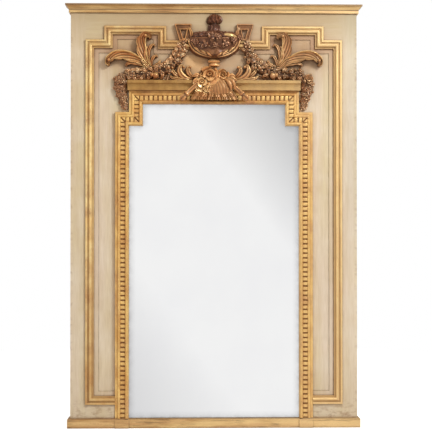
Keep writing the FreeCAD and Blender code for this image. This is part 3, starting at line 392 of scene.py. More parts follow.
def cream_paint(name, scale):
    finish, shader, place = new_finish(name)
    brush = place_group(brush_streaks, stretched(place, scale))
    cloudy = noise(place, 7.0, 5.0)
    axes = axes_of(place)
    across, height, side = axes["X"], axes["Z"], away_from(0.0, axes["X"])
    dusty = times(spread(height, 1.56, 1.7), spread(across, -0.4, 0.3, 0.82, 1.0))
    low = spread(height, 0.02, 0.3, 0.35, 0.0)
    aged = times(most(dusty, low), spread(cloudy, 0.25, 0.7, 0.65, 1.0))
    beside_urn = times(spread(height, 1.39, 1.5), spread(side, 0.4, 0.56, 1.0, 0.0),
                       spread(height, 1.61, 1.66, 1.0, 0.45))
    stain = times(beside_urn, spread(cloudy, 0.3, 0.66, 0.3, 0.75))
    # The case's outer edges higher up get a painted light: warm on the left and grey on the right.
    outer = times(spread(side, 0.51, 0.57, 0.0, 0.22), spread(height, 0.6, 1.0))
    side_light_tint = blend(spread(across, -0.1, 0.1), (205, 170, 130), (184, 180, 164))
    # Painted light: a lighter patch left of the urn, where the urn's shadow falls.
    painted_light_mask = times(line_at(across, -0.085, 0.03, 0.8), line_at(height, 1.5, 0.03, 1.0))
    border = times(line_at(axes["Y"], PANEL_STEP, 0.0008, 1.0), spread(height, 1.3, 1.6, 0.1, 0.6))
    scuffs = spread(noise(stretched(place, (26.0, 26.0, 44.0)), 1.0, 8.0, 0.7), 0.5, 0.62)
    handled = most(spread(height, 0.04, 0.13, 1.0, 0.0), spread(side, 0.58, 0.592, 0.0, 0.7))
    wide, close = glaze_and_shade(place, 0.035, 0.1, 0.8), glaze_and_shade(place, 0.008, 0.14, 0.52)
    facing = axes_of(add_node(place.id_data, "TexCoord").outputs["Normal"])["Y"]
    along_grain = tuple(9.0 if value > 10 else 0.3 for value in scale)
    bare = place_group(pine_grain, stretched(place, along_grain))["Colour"]
    colour = lay(
        blend(brush["Patches"], (232, 211, 188), (228, 209, 168)),
        (times(brush["Streaks"], 0.6), (212, 188, 152)),
        (spread(cloudy, 0.45, 0.68, 0.0, 0.6), (236, 220, 198)),
        (times(brush["Hairs"], 0.28), (192, 164, 126)),
        (aged, (182, 158, 118)),
        (stain, (184, 140, 94)),
        (outer, side_light_tint),
        (painted_light_mask, (244, 194, 136)),
        (border, (180, 138, 106)),
        (times(scuffs, handled, 0.7), (152, 112, 84)),
        # Broad occlusion darkening: brown glaze by the mouldings and corners, and partly painted shade,
        # darkest beside the urn and the carvings.
        (times(wide, 0.5), (158, 124, 96)),
        (times(wide, beside_urn, 0.65), (120, 74, 42)),
        (times(close, 0.8), (112, 78, 50)),
        (times(rubbed(place, 0.003, 45.0), 0.6), (172, 136, 94)),
        (maths("GREATER_THAN", facing, 0.6), bare),
    )
    fill(shader, {
        "Base Color": colour, "Roughness": spread(brush["Streaks"], 0.0, 1.0, 0.48, 0.66),
        "Normal": relief(plus(brush["Streaks"], brush["Hairs"]), 0.35, 0.0006), "Specular IOR Level": 0.3,
    })
    return finish


paint_up = cream_paint("cream_paint_upright", (62.0, 62.0, 4.2))
paint_along = cream_paint("cream_paint_level", (4.2, 62.0, 62.0))
print(paint_up.name, paint_along.name)

# %% [markdown]
# Gilding is gold leaf over red clay, the bole, on white gesso. The leaf goes on in squares that
# overlap, so it has faint lap lines, and where it is thin or rubbed the bole shows through. A brown
# wax in the hollows tones it down, and the right side is lightened by a painted light. One
# function gives the bright gold of the mouldings and the darker one of the cap.

# %% Gilding
CORNICE_EDGE, CORNICE_QUIRK, BASE_QUIRK = 1.7425, 1.7275, 0.0385  # levels of dark lines
BEAD_BACK, BEAD_FRONT = -0.0076, -0.0096  # depths between which the panel moulding's bead darkens


def groove_and_highlight_mark(place):
    """The carver's own mark of how deep in a groove a point lies, 0 where there is none; below 0 it marks a
    crest for a painted highlight.
    """
    return add_node(place.id_data, "Attribute", attribute_name="groove").outputs["Fac"]


def gilding(name, bright, deep, bole, wax, reach, metal, painted_right_light=0.0, cornice=False, low_rise=False,
            lap=(34.0, 34.0, 18.0), wear=(16.0, 16.0, 16.0)):
    """Gold leaf. A painted light lightens the right side, as much as the given share; cornice adds lines,
    low_rise tired ends.
    """
    finish, shader, place = new_finish(name)
    laps = noise(stretched(place, lap), 1.0, 5.0)
    cloud = noise(stretched(place, wear), 1.0, 6.0)
    speck = noise(place, 130.0, 6.0, 0.65)
    axes = axes_of(place)
    across, height = axes["X"], axes["Z"]
    thin = times(spread(cloud, 0.46, 0.68), spread(speck, 0.35, 0.6, 0.35, 1.0))
    dirt = most(glaze_and_shade(place, reach, 0.2, 0.62), groove_and_highlight_mark(place))
    layers = [(times(thin, 0.65), bole), (times(rubbed(place, 0.002, 90.0), 0.5), bole)]
    if cornice:
        scratches = noise(stretched(place, (7.0, 60.0, 110.0)), 1.0, 8.0, 0.7)
        dirt = most(
            dirt,
            spread(height, CORNICE_EDGE, CORNICE_EDGE + 0.001, 0.0, 0.75),
            line_at(height, CORNICE_QUIRK, 0.0016, 0.8),
            spread(scratches, 0.54, 0.64, 0.0, 0.8),
            spread(height, 0.001, 0.005, 0.8, 0.0),
            line_at(height, BASE_QUIRK, 0.0016, 0.6),
        )
    if low_rise:
        dirt = most(dirt, spread(axes["Y"], BEAD_FRONT, BEAD_BACK, 0.0, 0.5))
        middle = spread(away_from(0.0, across), 0.14, 0.34, 0.85, 0.4)
        high = times(spread(height, 1.45, 1.6), middle)
        tired = times(most(spread(height, 0.25, 0.8, 0.62, 0.0), high), spread(cloud, 0.3, 0.6, 0.6, 1.0))
        layers.append((tired, (186, 128, 66)))
    layers += [
        # Painted light: the right side is lightened, as if lit more.
        (spread(across, -0.2, 0.45, 0.0, painted_right_light), (250, 212, 150)),
        (times(dirt, 0.85), wax),
        (spread(noise(place, 420.0, 3.0), 0.6, 0.72, 0.0, 0.45), wax),
    ]
    fill(shader, {
        "Base Color": lay(blend(spread(laps, 0.38, 0.64), bright, deep), *layers),
        "Metallic": minus(metal, times(plus(dirt, thin), metal)),
        "Roughness": plus(spread(speck, 0.3, 0.7, 0.32, 0.48), times(dirt, 0.25)),
        "Normal": relief(plus(times(speck, 0.6), laps), 0.3, 0.0005),
    })
    return finish


BOLE = (176, 112, 68)
gold = gilding("gilt_moulding", (255, 226, 160), (244, 203, 134), BOLE, (146, 100, 54), 0.0045, 0.5,
               painted_right_light=0.6, low_rise=True)
sight_gold = gilding("gilt_sight", (247, 202, 123), (222, 167, 94), BOLE, (138, 86, 38), 0.009, 0.5,
                     painted_right_light=0.24)
head_gold = gilding("gilt_head", (226, 172, 99), (197, 140, 75), BOLE, (108, 64, 28), 0.009, 0.5)
band_gold = gilding("gilt_band", (236, 196, 132), (196, 150, 92), (190, 126, 80), (96, 62, 32), 0.012, 0.45,
                    painted_right_light=0.5, cornice=True, lap=(8.0, 40.0, 60.0), wear=(5.0, 30.0, 50.0))
old_gold = gilding("gilt_cap", (187, 140, 74), (161, 114, 57), (140, 94, 54), (84, 54, 26), 0.012, 0.4,
                   painted_right_light=0.45)
print([finish.name for finish in (gold, sight_gold, head_gold, band_gold, old_gold)])

# %% [markdown]
# The carving has the same layers, but its hollows hold far more glaze, so only the high places
# read as gold. Faces turned toward the window lamp, and crests that the carver marked, get a
# painted highlight. Pieces differ in how far they were cleaned: the urn and flowers are nearly
# bronze, the tall leaves golden, and the roses in the middle a warm orange.

# %% Carving finishes
GLAZE_BROWN = (60, 33, 16)
PAINTED_LIGHT_WAY = (0.35, -0.55, 0.75)  # forward, up and a little to the right, toward the window lamp: faces turned this way get a painted highlight


def carved_finish(name, bright, middle, dark, full=0.6, deep=0.9, far=None):
    """Three tones. Negative groove marks are crests with a painted highlight, and far tints the right side.
    """
    finish, shader, place = new_finish(name)
    cloud, speck = noise(place, 30.0, 6.0), noise(place, 170.0, 5.0, 0.6)
    facing = add_node(place.id_data, "NewGeometry").outputs["Normal"]
    # Painted highlight: faces turned toward the window lamp are brighter and more metallic.
    painted_light_mask = times(spread(dot(facing, PAINTED_LIGHT_WAY), 0.4, 0.92),
                  spread(times(plus(cloud, speck), 0.5), 0.42, 0.56, 0.1, 1.0))
    rub, groove = rubbed(place, 0.002, 120.0), groove_and_highlight_mark(place)
    painted_highlight = times(groove, -1.0)
    dirt = most(glaze_and_shade(place, 0.01, 0.12, full), times(groove, deep))
    layers = [(spread(cloud, 0.46, 0.68, 0.0, 0.6), dark), (times(rub, 0.7), bright),
              (times(painted_highlight, 0.7), bright)]
    if far:
        layers.append((spread(axes_of(place)["X"], -0.1, 0.25, 0.0, 0.35), far))
    layers.append((times(dirt, 0.92), GLAZE_BROWN))
    fill(shader, {
        "Base Color": lay(blend(painted_light_mask, middle, bright), *layers),
        "Metallic": times(most(painted_light_mask, rub, painted_highlight), minus(0.8, dirt)),
        "Roughness": spread(speck, 0.3, 0.7, 0.24, 0.48),
        "Normal": relief(plus(cloud, times(speck, 0.4)), 0.35, 0.0008), "Specular IOR Level": 0.3,
    })
    print(name)
    return finish


bronze = carved_finish("carving_dark", (255, 224, 170), (204, 136, 84), (120, 72, 42), full=0.66,
                       far=(104, 66, 44))
umber = carved_finish("carving_umber", (206, 146, 98), (116, 70, 42), (74, 42, 26))
dusky = carved_finish("carving_dusky", (182, 120, 84), (94, 52, 34), (60, 32, 22))
russet = carved_finish("carving_russet", (250, 190, 138), (164, 100, 66), (92, 54, 38))
copper = carved_finish("carving_copper", (255, 220, 166), (214, 142, 92), (130, 78, 48), full=0.7)
golden = carved_finish("carving_golden", (255, 218, 146), (194, 122, 68), (120, 68, 36), deep=0.98,
                       far=(206, 166, 122))
orange = carved_finish("carving_orange", (252, 204, 136), (218, 148, 90), (164, 102, 60), full=0.9, deep=0.8)
honey = carved_finish("carving_honey", (255, 226, 164), (255, 198, 132), (224, 148, 92), full=1.0, deep=0.66)

# %% [markdown]
# The plate is silvered glass. A mirror needs no pattern to look real, only what stands before it,
# but an old one is never quite even, so it has a trace of haze. Near the mouldings it is darker,
# partly aged silvering and partly painted shade.

# %% Mirror, pine and steel
CASE_SIDE = 0.59235  # past this the pine is the painted side of the case

silvering, shader, place = new_finish("silvered_plate")
haze = noise(place, 4.0, 4.0)
colour = blend(spread(haze, 0.4, 0.7), (247, 247, 247), (244, 244, 245))
# Darker where the sight moulding stands over the glass: partly aged silvering, partly painted shade.
colour = blend(times(glaze_and_shade(place, 0.03, 0.03, 0.5), 0.85), colour, (150, 147, 143))
fill(shader, {"Base Color": colour, "Metallic": 1.0, "Roughness": spread(haze, 0.4, 0.75, 0.012, 0.03)})


def raw_pine(name, scale):
    finish, shader, place = new_finish(name)
    grain = place_group(pine_grain, stretched(place, scale))
    outer = maths("GREATER_THAN", away_from(0.0, axes_of(place)["X"]), CASE_SIDE)
    drips = noise(stretched(place, (30.0, 30.0, 4.0)), 1.0)
    colour = lay(
        grain["Colour"],
        (spread(noise(place, 5.0, 5.0), 0.45, 0.7, 0.0, 0.6), (112, 84, 58)),
        (times(glaze_and_shade(place, 0.02), 0.7), (52, 36, 24)),
        (outer, blend(spread(drips, 0.35, 0.7), (222, 200, 168), (196, 170, 130))),
    )
    fill(shader, {
        "Base Color": colour, "Roughness": spread(grain["Pores"], 0.0, 1.0, 0.62, 0.85),
        "Normal": relief(plus(grain["Bands"], grain["Pores"]), 0.4, 0.0006),
    })
    return finish


pine_up = raw_pine("raw_pine_upright", (9.0, 9.0, 0.3))
pine_along = raw_pine("raw_pine_level", (0.3, 9.0, 9.0))

dull_steel, shader, place = new_finish("dull_steel")
cloud, rust = noise(place, 180.0, 6.0), spread(noise(place, 70.0, 8.0), 0.58, 0.7)
steel = blend(spread(cloud, 0.35, 0.65), (150, 150, 148), (104, 103, 100))
fill(shader, {
    "Base Color": blend(rust, steel, (116, 70, 44)), "Metallic": spread(rust, 0.0, 1.0, 0.95, 0.25),
    "Roughness": spread(cloud, 0.3, 0.7, 0.32, 0.55), "Normal": relief(cloud, 0.25, 0.0003),
})
print(silvering.name, pine_up.name, pine_along.name, dull_steel.name)

# %% [markdown]
# ## Finishes on the joinery
# Boards, mouldings, plate and hangers already have their right shape, so they stay and only take a
# finish. Stiles and side panels are brushed or grained upwards, the rest along.

# %% Give the joinery its finishes
SIDES = (("left", -1), ("right", 1))
JOINERY = (  # a finish, the single nodes that take it, and those that come as a left and a right
    (paint_along, ("face_top_rail", "face_bottom_rail", "panel_top"), ()),
    (paint_up, (), ("face_stile", "panel")),
    (pine_along, ("back_bottom_rail", "back_top_rail", "hanging_rail", "backing_planks"), ()),
    (pine_up, (), ("back_stile", "inner_stile")),
    (gold, ("gilt_crossbar",), ("gilt_foot", "gilt_upright", "gilt_top_bar", "gilt_returns")),
    (sight_gold, (), ("sight_upright", "sight_step", "sight_riser")),
    (head_gold, ("sight_head",), ()),
    (band_gold, ("cornice_front", "base_rail", "plinth_blocks"), ("cornice_return", "base_return")),
    (old_gold, ("cap",), ()),
    (silvering, ("mirror_plate",), ()),
    (dull_steel, ("hanger_screws",), ("hanger_strap", "hanger_ring")),
)
finished = 0
for finish, single, paired in JOINERY:
    for name in (*single, *(f"{name}_{side_name}" for name in paired for side_name, _ in SIDES)):
        nodes[name].data.materials.clear()
        nodes[name].data.materials.append(finish)
        finished += 1
print(finished, "joinery nodes finished")

# %% [markdown]
# ## The carver's tools
# The carving is worked in millimetres, as (across, -depth from the wall, level), and turned into
# metres at the end. Each leaf is a grid bent along a line, as a carver first bosses out the sweep of
# a leaf and then cuts the ribs, and its back goes down to the board, so it is solid wood.

# %% Finish a piece
WALL = 0.0575  # metres from the origin back to the wall
TO_METRES = Matrix.Translation((0, WALL, 0)) @ Matrix.Scale(0.001, 4)
BED = 49.3  # the sunk field's face, measured from the wall


def new_work():
    """An empty mesh to carve, with a mark on each point for how deep in a groove it lies; below 0 the mark
    asks for a painted highlight.
    """
    bm = bmesh.new()
    bm.verts.layers.float.new("groove")
    return bm


def groove_and_highlight_layer(bm):
    return bm.verts.layers.float["groove"]


def mark(bm, verts, depth):
    layer = groove_and_highlight_layer(bm)
    for vert in verts:
        vert[layer] = depth


def only(kind, items):
    """The items of one kind, such as BMVert."""
    return [item for item in items if isinstance(item, getattr(bmesh.types, kind))]


def saw(bm, place, outward):
    """Cuts off what lies outward of a plane through the place, and closes the cut."""
    geom = bm.verts[:] + bm.edges[:] + bm.faces[:]
    made = bmesh.ops.bisect_plane(bm, geom=geom, plane_co=place, plane_no=outward, clear_outer=True)
    bmesh.ops.holes_fill(bm, edges=only("BMEdge", made["geom_cut"]))


def add_shape(bm, mesh, matrix):
    """Adds a copy of a small mesh to the work, moved by the matrix."""
    moved = mesh.copy()
    moved.transform(matrix)
    bm.from_mesh(moved)
    bpy.data.meshes.remove(moved)


def finish_piece(name, bm, finish, replaced=(), sharp=55):
    """Turns the worked mesh into a piece of the case, in place of the named nodes."""
    bmesh.ops.recalc_face_normals(bm, faces=bm.faces)
    bm.transform(TO_METRES)
    mesh = bpy.data.meshes.new(name)
    bm.to_mesh(mesh)
    bm.free()
    mesh.polygons.foreach_set("use_smooth", [True] * len(mesh.polygons))
    mesh.set_sharp_from_angle(angle=math.radians(sharp))
    mesh.materials.append(finish)
    piece = bpy.data.objects.new(name, mesh)
    scene.collection.objects.link(piece)
    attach(piece, "case")
    if replaced:
        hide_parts(*replaced)
    print(f"{name}: {len(mesh.polygons)} faces")

# %% Bend a leaf
def along(points, share):
    """The smooth point at this share of the way through the given (across, depth, level, half width)."""
    place = share * (len(points) - 1)
    index = min(int(place), len(points) - 2)
    step = place - index
    near, far = Vector(points[index]), Vector(points[index + 1])
    before = Vector(points[index - 1]) if index else near * 2 - far
    after = Vector(points[index + 2]) if index + 2 < len(points) else far * 2 - near
    return (near * 2 + (far - before) * step + (before * 2 - near * 5 + far * 4 - after) * step**2
            + (near * 3 - before - far * 3 + after) * step**3) / 2


def heading(points, share, reach):
    """Which way the line runs at this share, over a short reach before and after."""
    return along(points, min(share + reach, 1.0)) - along(points, max(share - reach, 0.0))


def frame_at(points, share, reach, side=1):
    """A line's smooth point at this share, the way it runs, and the way its width lies."""
    ahead = heading(points, share, reach)
    run = Vector((ahead.x * side, -ahead.y, ahead.z)).normalized()
    return along(points, share), run, run.cross(Vector((0, -1, 0))).normalized()


def at(here, side):
    """The place in the work of an (across, depth, level), on the side it is for."""
    return Vector((here[0] * side, -here[1], here[2]))


def sheet(bm, wide, long):
    """A flat grid to bend: its points, each with its place over (-1..1) and share along (0..1) it."""
    verts = bmesh.ops.create_grid(bm, x_segments=wide, y_segments=long, size=1)["verts"]
    return [(vert, vert.co.x, (vert.co.y + 1) / 2) for vert in verts]


def stand_on_bed(bm, back, bed, tuck=0.82):
    """Makes a bent sheet solid. A copy is its front, and its own points go back onto the board."""
    faces = list({face for vert in back for face in vert.link_faces})
    bmesh.ops.extrude_face_region(bm, geom=faces, use_keep_orig=True)
    middle = sum((vert.co for vert in back), Vector()) / len(back)
    for vert in back:
        inward = middle - vert.co
        vert.co += inward * (1 - tuck) * min(1.0, 6.0 / max(inward.length, 0.1))
        vert.co.y = -bed
    mark(bm, back, 1.0)


def carve_leaf(bm, points, ribs=3, rows=16, cup=0.35, ridge=2.6, lobes=0, cut=0.25, bed=BED, side=1,
               tone=0.0, shade=1.0):
    """A leaf along (across, depth, level, half width), with ribs, a cupped face and cut edges."""
    layer, grid = groove_and_highlight_layer(bm), sheet(bm, ribs * 4, rows)
    for vert, over, share in grid:
        here, run, width_way = frame_at(points, share, 0.02, side)
        notch = abs(math.cos(lobes * math.pi * share)) if lobes else 0.0
        half = here.w * (1 - cut * notch * abs(over) ** 2 * min(1.0, 4 * share))
        crest = abs(math.sin(ribs * math.pi * (over + 1) / 2)) ** 0.7
        lift = ridge * crest * min(1.0, half / 8) - cup * half * over * over
        vert.co = at(here, side) + width_way * half * over + width_way.cross(run) * lift
        vert.co.y = min(vert.co.y, -bed - 1)
        vert[layer] = min(1.0, tone + shade * max(0.0, 1 - crest * 1.25) + 0.5 * notch * abs(over) ** 4)
        # The tops of the ribs get a painted highlight.
        vert[layer] -= 0.35 * shade * crest**6
    stand_on_bed(bm, [vert for vert, _, _ in grid], bed)

# %% [markdown]
# Garlands are made of a few small shapes used over and over: flowers of five, four and three petals,
# a pointed leaf and a berry. Each is made once with few faces, then planted many times, turned a
# little differently each time. The random numbers are seeded, so a garland is the same on each run.

# %% Small shapes
def small_mesh(name, bm):
    bmesh.ops.recalc_face_normals(bm, faces=bm.faces)
    mesh = bpy.data.meshes.new(name)
    bm.to_mesh(mesh)
    bm.free()
    return mesh


# Each ring of a blossom from its front middle to its back: (distance out, forward, groove).
BLOSSOM_RINGS = ((0.0, 0.62, 0.0), (0.3, 0.3, 1.0), (1.0, 0.34, 0.0), (0.7, -0.4, 1.0), (0.0, -0.5, 1.0))


def blossom(petals, notch):
    """A flower of radius 1 that looks along -Y: a ball whose rings are moved out into petals."""
    bm = new_work()
    layer = groove_and_highlight_layer(bm)
    rows = len(BLOSSOM_RINGS) - 1
    bmesh.ops.create_uvsphere(bm, u_segments=petals * 3, v_segments=rows, radius=1)
    step = math.tau / (petals * 3)
    first = next(math.atan2(vert.co.y, vert.co.x) for vert in bm.verts if abs(vert.co.z) < 0.9)
    for vert in bm.verts:
        row = round(math.acos(max(-1.0, min(1.0, vert.co.z))) / math.pi * rows)
        reach, forward, groove = BLOSSOM_RINGS[row]
        turn = math.atan2(vert.co.y, vert.co.x)
        between = round((turn - first) / step) % 3 == 0 and reach > 0.6
        vert[layer] = 1.0 if between else groove
        if between:
            reach, forward = reach * (1 - notch), forward - 0.4
        vert.co = Vector((reach * math.cos(turn), -forward, reach * math.sin(turn)))
    return small_mesh("blossom", bm)


def small_leaf():
    """A pointed leaf of length 1 from the origin along +Z, folded along its midrib."""
    bm = new_work()
    layer = groove_and_highlight_layer(bm)
    for vert, over, share in sheet(bm, 2, 4):
        half = 0.4 * math.sin(math.pi * min(share + 0.14, 1.0)) ** 0.7
        vert.co = Vector((half * over, -0.26 * math.sin(share * 2.4) - 0.16 * abs(over), share))
        vert[layer] = 0.9 * (1 - abs(over))
    stand_on_bed(bm, bm.verts[:], -0.05, 0.7)
    return small_mesh("small_leaf", bm)


def berry():
    bm = new_work()
    bmesh.ops.create_uvsphere(bm, u_segments=8, v_segments=5, radius=1)
    mark(bm, [vert for vert in bm.verts if vert.co.y > 0.2], 1.0)
    return small_mesh("berry", bm)


def ball(bm, place, radius, around=18, up=10):
    """A berry or bead bigger than the planted kind. Gives its points."""
    return bmesh.ops.create_uvsphere(bm, u_segments=around, v_segments=up, radius=radius,
                                     matrix=Matrix.Translation(place))["verts"]


SHAPES = {
    "daisy": blossom(5, 0.34), "star": blossom(4, 0.36), "bud": blossom(3, 0.25), "leaf": small_leaf(),
    "berry": berry(),
}
print({name: len(mesh.polygons) for name, mesh in SHAPES.items()})

# %% Plant the shapes
def spoke(turn):
    """A step of one in the face's plane, turned from the right hand upwards."""
    return Vector((math.cos(turn), 0, math.sin(turn)))


def plant(bm, shape, place, facing, spin, size):
    """Adds one small shape at a place, looking along facing and spun about it."""
    turn = Vector((0, -1, 0)).rotation_difference(Vector(facing).normalized()).to_matrix().to_4x4()
    matrix = Matrix.Translation(place) @ turn @ Matrix.Rotation(spin, 4, "Y") @ Matrix.Scale(size, 4)
    add_shape(bm, SHAPES[shape], matrix)


def bunch(bm, points, chance, side=1, bed=BED, step=17.0, flower=(8.5, 12.5), leaves=2):
    """Loose rows of flowers over a line of (across, depth, level, half width), with leaves and berries."""
    samples = [along(points, number / 24) for number in range(25)]
    length = sum((far - near).to_3d().length for near, far in zip(samples, samples[1:]))
    count = max(1, round(length / step))
    for number in range(count):
        here = along(points, (number + chance.uniform(0.35, 0.65)) / count)
        ahead = along(points, min((number + 1) / count, 1.0)) - along(points, number / count)
        run = Vector((ahead.x * side, 0, ahead.z)).normalized()
        across = Vector((run.z, 0, -run.x))
        rows = max(1, round(2 * here.w / step))
        for row in range(rows):
            over = ((row + 0.5) / rows * 2 - 1) * 0.8 + chance.uniform(-0.15, 0.15)
            over = max(-0.95, min(0.95, over + (number % 2 - 0.5) * 0.35))
            middle = at(here, side) + across * over * here.w
            middle.y -= here.w * 0.8 * math.sqrt(1 - 0.9 * over * over) + chance.uniform(-3.0, 2.0)
            facing = Vector((chance.uniform(-0.5, 0.5), -1, 0.15 + chance.uniform(-0.5, 0.5)))
            facing += across * over * 0.9
            size = chance.uniform(*flower)
            shape = chance.choice(("daisy", "daisy", "star", "star", "bud"))
            plant(bm, shape, middle, facing, chance.uniform(0, math.tau), size)
            for _ in range(leaves):
                turn = chance.uniform(0, math.tau)
                way = spoke(turn)
                place = middle + way * size * 0.5 + Vector((0, size * 0.2, 0))
                leaf_size = size * chance.uniform(1.0, 1.5)
                plant(bm, "leaf", place, facing + way * 0.3, math.pi / 2 - turn, leaf_size)
                if chance.random() < 0.4:
                    berry_size = size * chance.uniform(0.25, 0.38)
                    spot = middle + way * size + Vector((0, size * chance.uniform(-0.4, 0.2), 0))
                    spot.y = min(spot.y, -bed - 1)
                    plant(bm, "berry", spot, facing, 0.0, berry_size)

# %% [markdown]
# ## The sight moulding's slots
# Between its two beads the moulding has a row of short slots. Cutting two hundred slots is slow on
# a model and weak on a mesh, so the wood left between them is added instead: one small eased block
# between each pair of slots, with the flat band below as the slots' floor.

# %% Blocks between the slots
PITCH, BLOCK, BLOCK_TALL, BLOCK_SUNK = 19.4, 12.6, 4.4, 1.0
BAND_NEAR, BAND_FAR, BAND_FACE = 22.0, 42.0, 63.0  # from the moulding's outer edge, and from the wall
BAND_WIDE, BAND_MIDDLE = BAND_FAR - BAND_NEAR, (BAND_NEAR + BAND_FAR) / 2
MITRE_GAP = 2.6  # from a mitre to the blocks beside it
BLOCK_SHAPES = {}


def block_shape(size, lean):
    """One eased block round the origin. A lean cuts off the corner on that side of its mitre."""
    bm = new_work()
    bmesh.ops.create_cube(bm, size=1, matrix=Matrix.Diagonal((size[0], BLOCK_TALL + BLOCK_SUNK, size[1], 1)))
    if lean:
        way = Vector((lean[0], 0, lean[1])).normalized()
        saw(bm, way * MITRE_GAP, -way)
    front = {vert for vert in bm.verts if vert.co.y < 0}
    edges = [edge for edge in bm.edges if front.issuperset(edge.verts)]
    bmesh.ops.bevel(bm, geom=edges, offset=1.0, segments=2, profile=0.5, affect="EDGES", material=-1)
    mark(bm, [vert for vert in bm.verts if vert.co.y > -1.9], 1.0)
    return small_mesh("block", bm)


def block(bm, middle, size, lean=None):
    if (size, lean) not in BLOCK_SHAPES:
        BLOCK_SHAPES[size, lean] = block_shape(size, lean)
    place = Vector((middle.x, -BAND_FACE - (BLOCK_TALL - BLOCK_SUNK) / 2, middle.y))
    add_shape(bm, BLOCK_SHAPES[size, lean], Matrix.Translation(place))


def slot_floor(bm, middle, size):
    """The dark bottom that the slots of one run share."""
    place = Matrix.Translation((middle.x, -BAND_FACE, middle.y)) @ Matrix.Diagonal((size[0], 0.5, size[1], 1))
    mark(bm, bmesh.ops.create_cube(bm, size=1, matrix=place)["verts"], 1.0)


def block_row(bm, start, end, inward):
    """Blocks from start to end, each (across, level), on the band that lies inward of that edge."""
    start, end, inward = Vector(start), Vector(end), Vector(inward)
    run = end - start
    count = max(1, round(run.length / PITCH))
    size = (BLOCK, BAND_WIDE) if abs(run.x) > abs(run.y) else (BAND_WIDE, BLOCK)
    offset = inward * BAND_MIDDLE
    for number in range(count):
        block(bm, start + run * ((number + 0.5) / count) + offset, size)
    slot_floor(bm, (start + end) / 2 + offset, (abs(run.x) or BAND_WIDE, abs(run.y) or BAND_WIDE))


OUTER, STEP_IN = 408.5, 351.5  # the moulding's outer edge below its step and above it
BASE_TOP, STEP, HEAD = 40.0, 1303.5, 1393.0
CORNER = (BAND_WIDE, BAND_WIDE)
bm = new_work()
for _, side in SIDES:
    block_row(bm, (OUTER * side, BASE_TOP + 2), (OUTER * side, STEP - BAND_FAR), (-side, 0))
    block_row(bm, ((OUTER - BAND_FAR) * side, STEP), ((STEP_IN - BAND_NEAR) * side, STEP), (0, -1))
    block_row(bm, (STEP_IN * side, STEP - BAND_NEAR), (STEP_IN * side, HEAD - BAND_FAR), (-side, 0))
    for across, level in ((OUTER, STEP), (STEP_IN, STEP), (STEP_IN, HEAD)):
        middle = Vector(((across - BAND_MIDDLE) * side, level - BAND_MIDDLE))
        slot_floor(bm, middle, CORNER)
        block(bm, middle, CORNER, (1, -side))
        block(bm, middle, CORNER, (-1, side))
block_row(bm, (-STEP_IN + BAND_FAR, HEAD), (STEP_IN - BAND_FAR, HEAD), (0, -1))
finish_piece("slot_blocks", bm, sight_gold, sharp=40)

# %% [markdown]
# ## The urn
# The urn is a turned vase cut in half and planted on the face, so it starts as a profile spun into a
# full round. Squeezing its depth, cutting off the back and filling the cut gives the half vase. The
# hollows between its gadroons are pushed in before the squeeze, while it is still round.

# %% Bowl
def turned(bm, profile, steps):
    """Spins a profile of (radius, level) round the upright axis."""
    verts = [bm.verts.new((radius, 0, level)) for radius, level in profile]
    edges = [bm.edges.new(pair) for pair in zip(verts, verts[1:])]
    bmesh.ops.spin(bm, geom=verts + edges, angle=math.tau, steps=steps, axis=(0, 0, 1), cent=(0, 0, 0),
                   use_merge=True)
    bmesh.ops.remove_doubles(bm, verts=bm.verts, dist=0.01)


def cut_back(bm, depth):
    saw(bm, (0, -depth, 0), (0, 1, 0))


def radius_at(profile, level, beyond):
    """The radius of a profile of (radius, level) at this level, or another beyond its ends."""
    for (near, start), (far, end) in zip(profile, profile[1:]):
        if min(start, end) <= level <= max(start, end):
            return near + (far - near) * (level - start) / (end - start)
    return beyond


def ease(value, low, high):
    share = min(1.0, max(0.0, (value - low) / (high - low)))
    return share * share * (3 - 2 * share)


def bowl_squeeze(level):
    """The share of its depth that the vase keeps, less in the bowl than at its foot."""
    return 0.9 - 0.49 * ease(level, 1524, 1560)


STEM = [
    (0, 1529), (16, 1529), (17, 1524), (23, 1521.5), (25, 1516.5), (23, 1511.5), (17, 1509), (16, 1507),
    (20, 1504.5), (22, 1500.5), (20.5, 1496.5), (17, 1494.2), (0, 1494.2),
]
STEM_NECK = 18.5  # what lies nearer to the axis than this is in the shade of the rings
bm = new_work()
turned(bm, STEM, 48)
mark(bm, [vert for vert in bm.verts if vert.co.xy.length < STEM_NECK], 0.9)
bmesh.ops.scale(bm, vec=(1, bowl_squeeze(0), 1), verts=bm.verts)
bmesh.ops.translate(bm, vec=(0, -BED, 0), verts=bm.verts)
cut_back(bm, BED)
finish_piece("urn_stem_carved", bm, honey)

BOWL_RIM = [(0, 1609), (106, 1609), (116, 1611.5), (121, 1609.5), (121.5, 1605)]
BOWL_SIDE = [
    (117, 1600), (117.5, 1590), (113, 1577), (104, 1564), (91, 1551), (74, 1540), (54, 1532), (34, 1527),
    (16, 1525.5), (0, 1525.5),
]
LOBES = 9  # gadroons round the half bowl
bm = new_work()
turned(bm, BOWL_RIM + BOWL_SIDE, 120)
layer = groove_and_highlight_layer(bm)
for vert in bm.verts:
    turn = math.atan2(vert.co.y, vert.co.x)
    lower = (1 - ease(vert.co.z, 1546, 1562)) * ease(vert.co.z, 1524, 1532)
    lobe = abs(math.cos(LOBES * turn))
    swell = 1 + lower * (0.06 * lobe - 0.03)
    vert[layer] = 0.55 * lower * (1 - lobe) + 0.35 * ease(vert.co.z, 1560, 1580) * (vert.co.z < 1598)
    vert.co = Vector((vert.co.x * swell, -BED + vert.co.y * swell * bowl_squeeze(vert.co.z), vert.co.z))
cut_back(bm, BED)
finish_piece("urn_bowl_carved", bm, umber, ["urn_bowl"])


